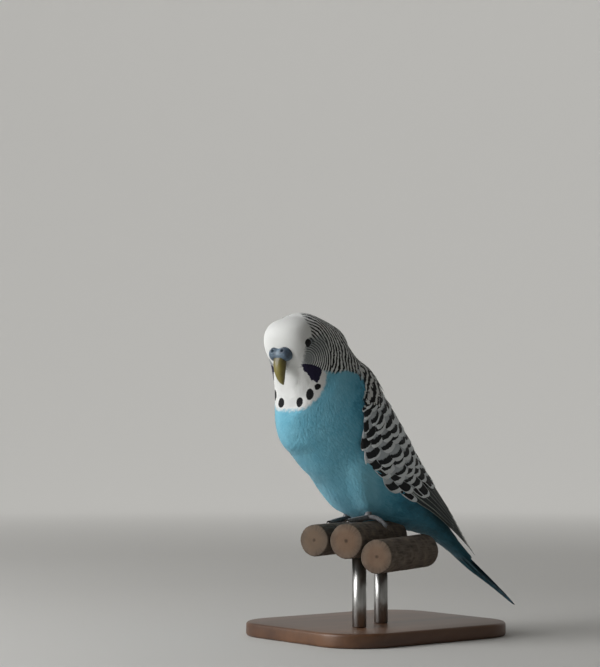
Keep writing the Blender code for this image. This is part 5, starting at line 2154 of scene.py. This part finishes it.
@dataclass
class Legs:
    """The feet: scaled toes, two ahead and two behind, with dark claws."""

    body: BodyForm
    perch: PerchForm
    skin: Material
    claw: Material
    scute: Material
    ankles: tuple = ((9.6, 6.8), (7.8, 4.4))
    toes: tuple = ((-12.0, 12.0), (17.0, 15.5), (114.0, 11.0), (190.0, 6.5))
    toe_radius: float = 1.15
    shank_radius: float = 1.35
    shank_way: tuple[float, float, float] = (0.3, 2.8, 7.0)
    claw_length: float = 4.0

    def build(self) -> None:
        """Make both feet."""
        for side, (beside, fore) in zip(Side, self.ankles):
            self.foot(side, beside, fore)

    def foot(self, side: Side, beside: float, fore: float) -> None:
        """One foot: the skin, the scutes on top of it and the claws.

        Args:
            side: The bird's side.
            beside: How far the ankle stands from the middle.
            fore: How far it stands ahead of the perch point.
        """
        sign = side.value
        plan = np.array([sign * beside, self.body.perch_point[1] - fore])
        lift = self.toe_radius + 0.4
        ankle = np.array([*plan, self.perch.height(plan, lift)])
        start = ankle + np.array([0.0, 0.0, 0.2])
        heel = start + np.array(self.shank_way) * (sign, 1.0, 1.0)
        share = np.linspace(0.0, 1.0, 16)
        shank = start + (heel - start) * share[:, None]
        radii = self.shank_radius * (1 + 0.12 * np.cos(share * 2 * math.pi)) * 0.95
        groups = [tube_rings(shank, radii, 18)]
        paths = [(shank, radii)]
        claws = []
        for turn, length in self.toes:
            angle = math.radians(turn)
            heading = np.array([sign * math.sin(angle), -math.cos(angle), 0.0])
            share = np.linspace(0.0, 1.0, 36)
            radii = self.toe_radius * (1.05 - 0.3 * share)
            joints = 1 + 0.08 * np.cos(share * 7 * math.pi)
            joints = joints * np.sqrt(1 - (np.maximum(share - 0.86, 0.0) / 0.145) ** 2)
            path, onward = self.perch.walk(ankle, heading, length, radii + 0.22)
            groups.append(tube_rings(path, radii * joints, 16, 0.92))
            paths.append((path, radii))
            bend = np.linspace(0.0, 1.0, 16)
            thin = 0.62 * (1 - 0.9 * bend)
            arch = 0.85 * np.sin(math.pi * bend) + 0.2 * (1 - bend)
            hook, _ = self.perch.walk(path[-4], onward, self.claw_length, thin + 0.3 + arch)
            claws.append(tube_rings(hook, thin, 12))
        self.joined(f"toes_{side.word}", groups, self.skin, "foot_skin", f"foot_{side.word}")
        self.joined(f"claws_{side.word}", claws, self.claw, "foot_skin")
        self.scutes(side, paths)

    def joined(
        self, name: str, groups: list[np.ndarray], material: Material, slot: str, *nodes: str
    ) -> None:
        """Several closed tubes as one piece.

        Args:
            name: The piece's name.
            groups: Each tube's rings.
            material: Its material.
            slot: Its material slot.
            *nodes: The CAD nodes that it takes the place of.
        """
        points, quads, fans, count = [], [], [], 0
        for rings in groups:
            more, (four, three) = loft_arrays(rings)
            points.append(more)
            quads.append(four + count)
            fans.append(three + count)
            count += len(more)
        faces = [np.concatenate(quads), np.concatenate(fans)]
        piece = mesh_piece(name, np.concatenate(points), faces, material)
        declare(piece, slot, *nodes)

    def scutes(self, side: Side, paths: list[tuple[np.ndarray, np.ndarray]]) -> None:
        """Overlapping scutes along the top of the toes and the front of the shank.

        Args:
            side: The bird's side.
            paths: Each toe's and the shank's path and radii.
        """
        mesh = bpy.data.meshes.new("scute_lines")
        points, edges = [], []
        for path, radii in paths:
            keep = slice(2, len(path) - 2)
            lifted = path[keep] + np.array([0.0, 0.0, 1.0]) * radii[keep, None] * 0.80
            first = len(points)
            points += [tuple(p * MM) for p in lifted]
            edges += [(k, k + 1) for k in range(first, len(points) - 1)]
        mesh.from_pydata(points, edges, [])
        guide = linked("scute_guide", mesh)
        piece = scattered_along(guide, f"scutes_{side.word}", self.scute, 0.00075, 0.00062)
        bpy.data.objects.remove(guide)
        declare(piece, "foot_skin")


def scattered_along(
    guide: bpy.types.Object, name: str, material: Material, step: float, size: float
) -> bpy.types.Object:
    """Set small flat scales along lines with Geometry Nodes.

    Args:
        guide: A mesh of lines.
        name: The new piece's name.
        material: The scales' material.
        step: The distance between scales, in metres.
        size: Half a scale's width, in metres.

    Returns:
        The realized piece as a plain mesh.
    """
    tree = bpy.data.node_groups.new("scales_along", "GeometryNodeTree")
    face = tree.interface
    face.new_socket("Geometry", in_out="INPUT", socket_type="NodeSocketGeometry")
    step_socket = face.new_socket("Step", in_out="INPUT", socket_type="NodeSocketFloat")
    size_socket = face.new_socket("Half Width", in_out="INPUT", socket_type="NodeSocketFloat")
    face.new_socket("Geometry", in_out="OUTPUT", socket_type="NodeSocketGeometry")
    given = tree.nodes.new("NodeGroupInput").outputs
    known = {"lines": given[0], "step": given["Step"], "half": given["Half Width"]}
    rows = [
        ("curve", "GeometryNodeMeshToCurve", {"Mesh": "lines"}),
        (
            "spaced", "GeometryNodeResampleCurve",
            {"Curve": "curve", "Length": "step"}, {"mode": "LENGTH"},
        ),
        ("along", "GeometryNodeInputTangent", {}),
        ("turned", "FunctionNodeAlignRotationToVector", {"Vector": "along"}, {"axis": "X"}),
        (
            "upright", "FunctionNodeAlignRotationToVector",
            {"Rotation": "turned", "Vector": (0.0, 0.0, 1.0)}, {"axis": "Z", "pivot_axis": "X"},
        ),
        ("ball", "GeometryNodeMeshUVSphere", {"Segments": 10, "Rings": 5, "Radius": "half"}),
        ("flat", "GeometryNodeTransform", {"Geometry": "ball", "Scale": (0.85, 1.35, 0.42)}),
        (
            "vary", "FunctionNodeRandomValue",
            {"Min": 0.85, "Max": 1.1, "Seed": 7}, {"out": 1, "data_type": "FLOAT"},
        ),
        (
            "placed", "GeometryNodeInstanceOnPoints",
            {"Points": "spaced", "Instance": "flat", "Rotation": "upright", "Scale": "vary"},
        ),
        ("real", "GeometryNodeRealizeInstances", {"Geometry": "placed"}),
        ("real", "GeometryNodeSetShadeSmooth", {0: "real"}),
        ("dressed", "GeometryNodeSetMaterial", {"Geometry": "real", "Material": material}),
    ]
    result = tree.nodes.new("NodeGroupOutput")
    tree.links.new(add_rows(tree, rows, known)["dressed"], result.inputs[0])
    modifier = guide.modifiers.new("scales", "NODES")
    modifier.node_group = tree
    modifier[step_socket.identifier] = step
    modifier[size_socket.identifier] = size
    graph = bpy.context.evaluated_depsgraph_get()
    mesh = bpy.data.meshes.new_from_object(guide.evaluated_get(graph))
    mesh.name = name
    made = linked(name, mesh)
    guide.modifiers.clear()
    return made


@dataclass
class Perch:
    """The three logs with bark and sawn ends."""

    form: PerchForm
    materials: Sequence[Material]
    sides: int = 96
    rings: int = 60

    def build(self) -> None:
        """Make the logs."""
        for log in range(len(self.form.logs)):
            self.log(log)

    def log(self, number: int) -> None:
        """One log: slightly uneven round wood, its arrises rubbed.

        Args:
            number: The log's number, from 0.
        """
        radius, _, length, _ = self.form.logs[number]
        near, far = self.form.ends(number)
        axis = unit(far - near)
        side = np.array([axis[1], -axis[0], 0.0])
        rng = np.random.default_rng(SEED + 31 + number)
        run = np.concatenate(
            [[0.0, 0.0, 0.0, 0.12, 0.4], np.linspace(1.0, length - 1.0, self.rings),
             [length - 0.4, length - 0.12, length, length, length]]
        )
        shrink = np.concatenate(
            [[0.985 * radius, 0.5 * radius, 0.42, 0.16, 0.03], np.zeros(self.rings),
             [0.03, 0.16, 0.42, 0.5 * radius, 0.985 * radius]]
        )
        angle = turns(self.sides)
        uneven = np.zeros((len(run), self.sides))
        for wave in range(1, 9):
            size = 0.16 / wave
            lean = rng.uniform(-0.06, 0.06)
            uneven += size * np.sin(
                wave * angle[None] + rng.uniform(0, 6.3) + lean * run[:, None] * wave
            )
        furrows = np.sin(23 * angle[None] + 2.0 * np.sin(run[:, None] * 0.21 + number))
        uneven += 0.05 * furrows * np.sin(run[:, None] * 0.9 + 3 * angle[None]) - 0.12
        reach = radius - shrink[:, None] + uneven * (1 - shrink[:, None] / radius)
        circle = np.cos(angle)[:, None] * side + np.sin(angle)[:, None] * np.array([0, 0, 1.0])
        rings = near + axis * run[:, None, None] + circle[None] * reach[..., None]
        points, faces = loft_arrays(rings)
        cut = np.where(shrink > 0.45, 1.0, np.where(shrink > 0.3, 0.3, 0.0))

        def flat(rows: np.ndarray) -> np.ndarray:
            """A ring's number for each of its points, and for the two ends' middles."""
            return np.concatenate([np.repeat(rows, self.sides), [rows[0], rows[-1]]])

        fields = {
            "cut": flat(cut),
            "radial": np.concatenate([reach.ravel(), [0.0, 0.0]]),
            "run": flat(run),
            "round": np.concatenate(
                [np.tile(np.abs(np.sin(angle / 2)) * 2 * radius, len(run)), [0.0, 0.0]]
            ),
        }
        piece = mesh_piece(
            f"log_{number + 1}", points, faces, self.materials[number], None, fields
        )
        declare(piece, "log_wood", f"perch_log_{number + 1}")


@dataclass
class Stand:
    """The flat base and the two rods under the middle log."""

    perch: PerchForm
    wood: Material
    steel: Material
    size: tuple[float, float, float] = (84.0, 98.0, 6.0)
    corner: float = 20.0
    edge: float = 1.2
    rod_radius: float = 3.0
    rod_steps: tuple[float, float] = (0.27, 0.73)

    def build(self) -> None:
        """Make the base and the rods."""
        width, depth, height = self.size
        outline = []
        for k, (sx, sy) in enumerate(((1, 1), (-1, 1), (-1, -1), (1, -1))):
            for angle in (k + np.linspace(0.0, 1.0, 25)) * math.pi / 2:
                outline.append(
                    (
                        sx * (width / 2 - self.corner) + self.corner * math.cos(angle),
                        sy * (depth / 2 - self.corner) + self.corner * math.sin(angle),
                    )
                )
        outline = np.array(outline)
        rings = []
        for low, sign in ((0.0, 1.0), (height, -1.0)):
            bevel = np.linspace(0.0, math.pi / 2, 7)
            steps = [(self.edge * (1 - math.sin(b)), self.edge * (1 - math.cos(b))) for b in bevel]
            rows = [(inset, low + sign * rise) for inset, rise in steps]
            rings += [(inset, rise) for inset, rise in (rows if sign > 0 else rows[::-1])]
        rings = [rings[0], *rings, rings[-1]]
        stack = []
        for k, (inset, rise) in enumerate(rings):
            inset = inset + (12.0 if k in (0, len(rings) - 1) else 0.0)
            shape = outline * (1 - 2 * inset / np.array([width, depth]))
            stack.append(np.column_stack([shape, np.full(len(shape), rise)]))
        points, faces = loft_arrays(np.array(stack))
        piece = mesh_piece("base_plate", points, faces, self.wood)
        declare(piece, "stand_wood", "stand_base")
        near, far = self.perch.ends(1)
        radii = np.array([0.9, 1.0, 1.0]) * self.rod_radius
        for k, share in enumerate(self.rod_steps, 1):
            place = near + (far - near) * share
            top = place[2] - self.perch.logs[1][0] + 0.9
            path = np.array([[place[0], place[1], z] for z in (height + 0.1, height + 0.4, top)])
            points, faces = loft_arrays(tube_rings(path, radii, 48))
            piece = mesh_piece(f"rod_{k}", points, faces, self.steel)
            declare(piece, "stand_metal", f"stand_rod_{k}")


@dataclass(frozen=True)
class Studio:
    """The pale floor, the soft light and the camera."""

    body: BodyForm
    azimuth: float = math.radians(52.0)
    focal_px: float = 1725.0
    distance: float = 750.0
    aim_px: tuple[float, float] = (365.0, 515.0)
    horizon_px: float = 450.0
    frame_px: tuple[float, float] = (600.0, 667.0)
    # How brightly the backdrop glows, as painted light
    glow: float = 0.43

    def axes(self) -> tuple[np.ndarray, np.ndarray, np.ndarray]:
        """The camera's right, up and forward directions."""
        rise = math.atan((self.horizon_px - self.frame_px[1] / 2) / self.focal_px)
        right = np.array([math.cos(self.azimuth), math.sin(self.azimuth), 0.0])
        level = np.array([-math.sin(self.azimuth), math.cos(self.azimuth), 0.0])
        forward = level * math.cos(rise) + np.array([0, 0, math.sin(rise)])
        return right, np.cross(right, forward), forward

    def camera(self) -> None:
        """Place the camera where the photo was taken from."""
        right, up, forward = self.axes()
        x = (self.aim_px[0] - self.frame_px[0] / 2) / self.focal_px * self.distance
        y = (self.frame_px[1] / 2 - self.aim_px[1]) / self.focal_px * self.distance
        place = np.array(self.body.perch_point) - forward * self.distance - up * y - right * x
        data = bpy.data.cameras.new("photo_camera")
        data.sensor_width = 36.0
        data.lens = self.focal_px * 36.0 / self.frame_px[1]
        data.clip_start, data.clip_end = 0.02, 20.0
        camera = linked("photo_camera", data)
        turn = Matrix((Vector(right), Vector(up), Vector(-forward))).transposed().to_4x4()
        turn.translation = Vector(place * MM)
        camera.matrix_world = turn
        bpy.context.scene.camera = camera

    def lights(self) -> None:
        """A large soft light from the photo's left, a weak one above and a pale sky."""
        right, up, forward = self.axes()
        middle = np.array(self.body.perch_point) + np.array([0.0, 0.0, 30.0])
        for name, way, reach, size, power in (
            ("window", -right * 1.0 - forward * 0.28 + up * 0.42, 900.0, 0.8, 8.2),
            ("ceiling", up * 1.0 - right * 0.4, 1200.0, 1.2, 1.3),
        ):
            data = bpy.data.lights.new(name, "AREA")
            data.shape, data.size, data.energy = "DISK", size, power
            lamp = linked(name, data)
            place = middle + unit(way) * reach
            aim = Vector(middle - place).to_track_quat("-Z", "Y")
            lamp.matrix_world = Matrix.Translation(Vector(place * MM)) @ aim.to_matrix().to_4x4()
        world = bpy.data.worlds.new("studio")
        world.use_nodes = True
        back = world.node_tree.nodes["Background"]
        back.inputs["Color"].default_value = linear("#D9DAD8")
        back.inputs["Strength"].default_value = 0.08
        bpy.context.scene.world = world
        bpy.context.scene.view_settings.view_transform = "Standard"

    def floor(self) -> None:
        """A pale floor that curves up into a wall; it glows behind the object, painted light that
        stands in for an evenly lit backdrop.
        """
        shader = {
            "Base Color": "#CFCECB", "Roughness": 0.9, "Emission Color": "#D6D5D2",
            "Emission Strength": "glow",
        }
        material = new_material("studio_paper", "glow", (), shader)
        profile = [(120.0, 0.0), (300.0, 0.0), (600.0, 0.0), (900.0, 0.0), (1500.0, 0.0)]
        for angle in np.linspace(0.0, math.pi / 2, 14)[1:]:
            profile.append((1500.0 + 900.0 * math.sin(angle), 900.0 * (1 - math.cos(angle))))
        profile.append((2400.0, 3200.0))
        count = 96
        round_ = turns(count)
        rings = [
            np.stack([r * np.cos(round_), r * np.sin(round_), np.full(count, z)], -1)
            for r, z in profile
        ]
        points = np.concatenate([np.concatenate(rings), [[0.0, 0.0, 0.0]]])
        quads = ring_faces(len(rings), count)
        j = np.arange(count)
        hub = np.stack([np.full(count, len(points) - 1), j, (j + 1) % count], -1)
        forward = self.axes()[2]
        reach = np.maximum(np.linalg.norm(points[:, :2], axis=1), 1.0)
        facing = (points[:, :2] @ forward[:2]) / reach / np.linalg.norm(forward[:2])
        # Painted light: the paper glows, most behind the object as seen from the camera and not at
        # all near it
        behind = 0.12 + 0.88 * smooth(0.35, 0.9, facing)
        lit = self.glow * behind * smooth(200.0, 1700.0, reach + points[:, 2])
        piece = mesh_piece(
            "studio_floor", points, [quads[:, ::-1], hub], material, None, {"glow": lit}
        )

    def build(self) -> None:
        """Make the studio."""
        self.floor()
        self.camera()
        self.lights()


def main() -> None:
    """Dress the bird, its perch and its stand, and light them."""
    logging.basicConfig(level=logging.INFO, format="%(name)s: %(message)s")
    body = BodyForm()
    wing = WingForm(body)
    perch = PerchForm(body)
    contour = ContourPlumage().build()
    # The fourth colour of each feather material is its painted sheen
    # Coverts: near black, each with a broad grey-white rim
    covert = FlightPlumage("barred_coverts", "#0D0E11", "#D3D8DA", "#181B1E", "#0B0C0E").build()
    # Flight feathers: dark grey with a thin pale outer edge
    flight = FlightPlumage("flight_feathers", "#1D2325", "#A9B0AB", "#363F41").build()
    # Tail feathers: deep blue with darker edges
    tail = FlightPlumage(
        "tail_feathers_blue", "#1B4A5E", "#0D1C28", "#2C6472", "#0A141C"
    ).build()
    cere = MottledSkin("cere_skin_slate", "#303C4C", "#64798A", 0.42, 260.0, bump=0.12).build()
    lid = MottledSkin("eyelid_skin", "#5C6368", "#8B9498", 0.55, 700.0, bump=0.1).build()
    # A wet cornea over a black iris reflects less than glass does
    eye = MottledSkin("eye_cornea", "#020202", "#050404", 0.08, 200.0, bump=0.0, specular=0.28)
    eye = eye.build()
    foot = MottledSkin("foot_skin_scaled", "#5C5F63", "#858587", 0.6, 900.0, bump=0.3).build()
    scute = MottledSkin("foot_scutes", "#676A6E", "#8F8F90", 0.5, 700.0, bump=0.15).build()
    claw = MottledSkin("claw_horn", "#2B2622", "#554A3F", 0.35, 500.0, bump=0.08).build()
    walnut = MottledSkin(
        "waxed_walnut", "#4A3020", "#6B4930", 0.42, 60.0, (1.0, 0.09, 1.0), bump=0.08, coat=0.1
    ).build()
    steel = MottledSkin(
        "brushed_steel", "#9A9A98", "#B4B4B2", 0.32, 500.0, (1.0, 1.0, 0.03), bump=0.03,
        metallic=1.0,
    ).build()
    logs = [
        LogWood("log_grey_bark", heart="#5E5246", ring="#554A3E").build(),
        LogWood("log_brown_bark").build(),
        LogWood("log_shaded_bark", heart="#644F40", ring="#5A4638").build(),
    ]
    Plumage(body, wing, Markings(), contour).build()
    WingPlumage(wing, covert, flight).build()
    TailPlumage(TailForm(body), tail).build()
    Face(body, eye, lid, cere, ShadedHorn().build()).build()
    Legs(body, perch, foot, claw, scute).build()
    Perch(perch, logs).build()
    Stand(perch, walnut, steel).build()
    Studio(body).build()


if __name__ == "__main__":
    main()
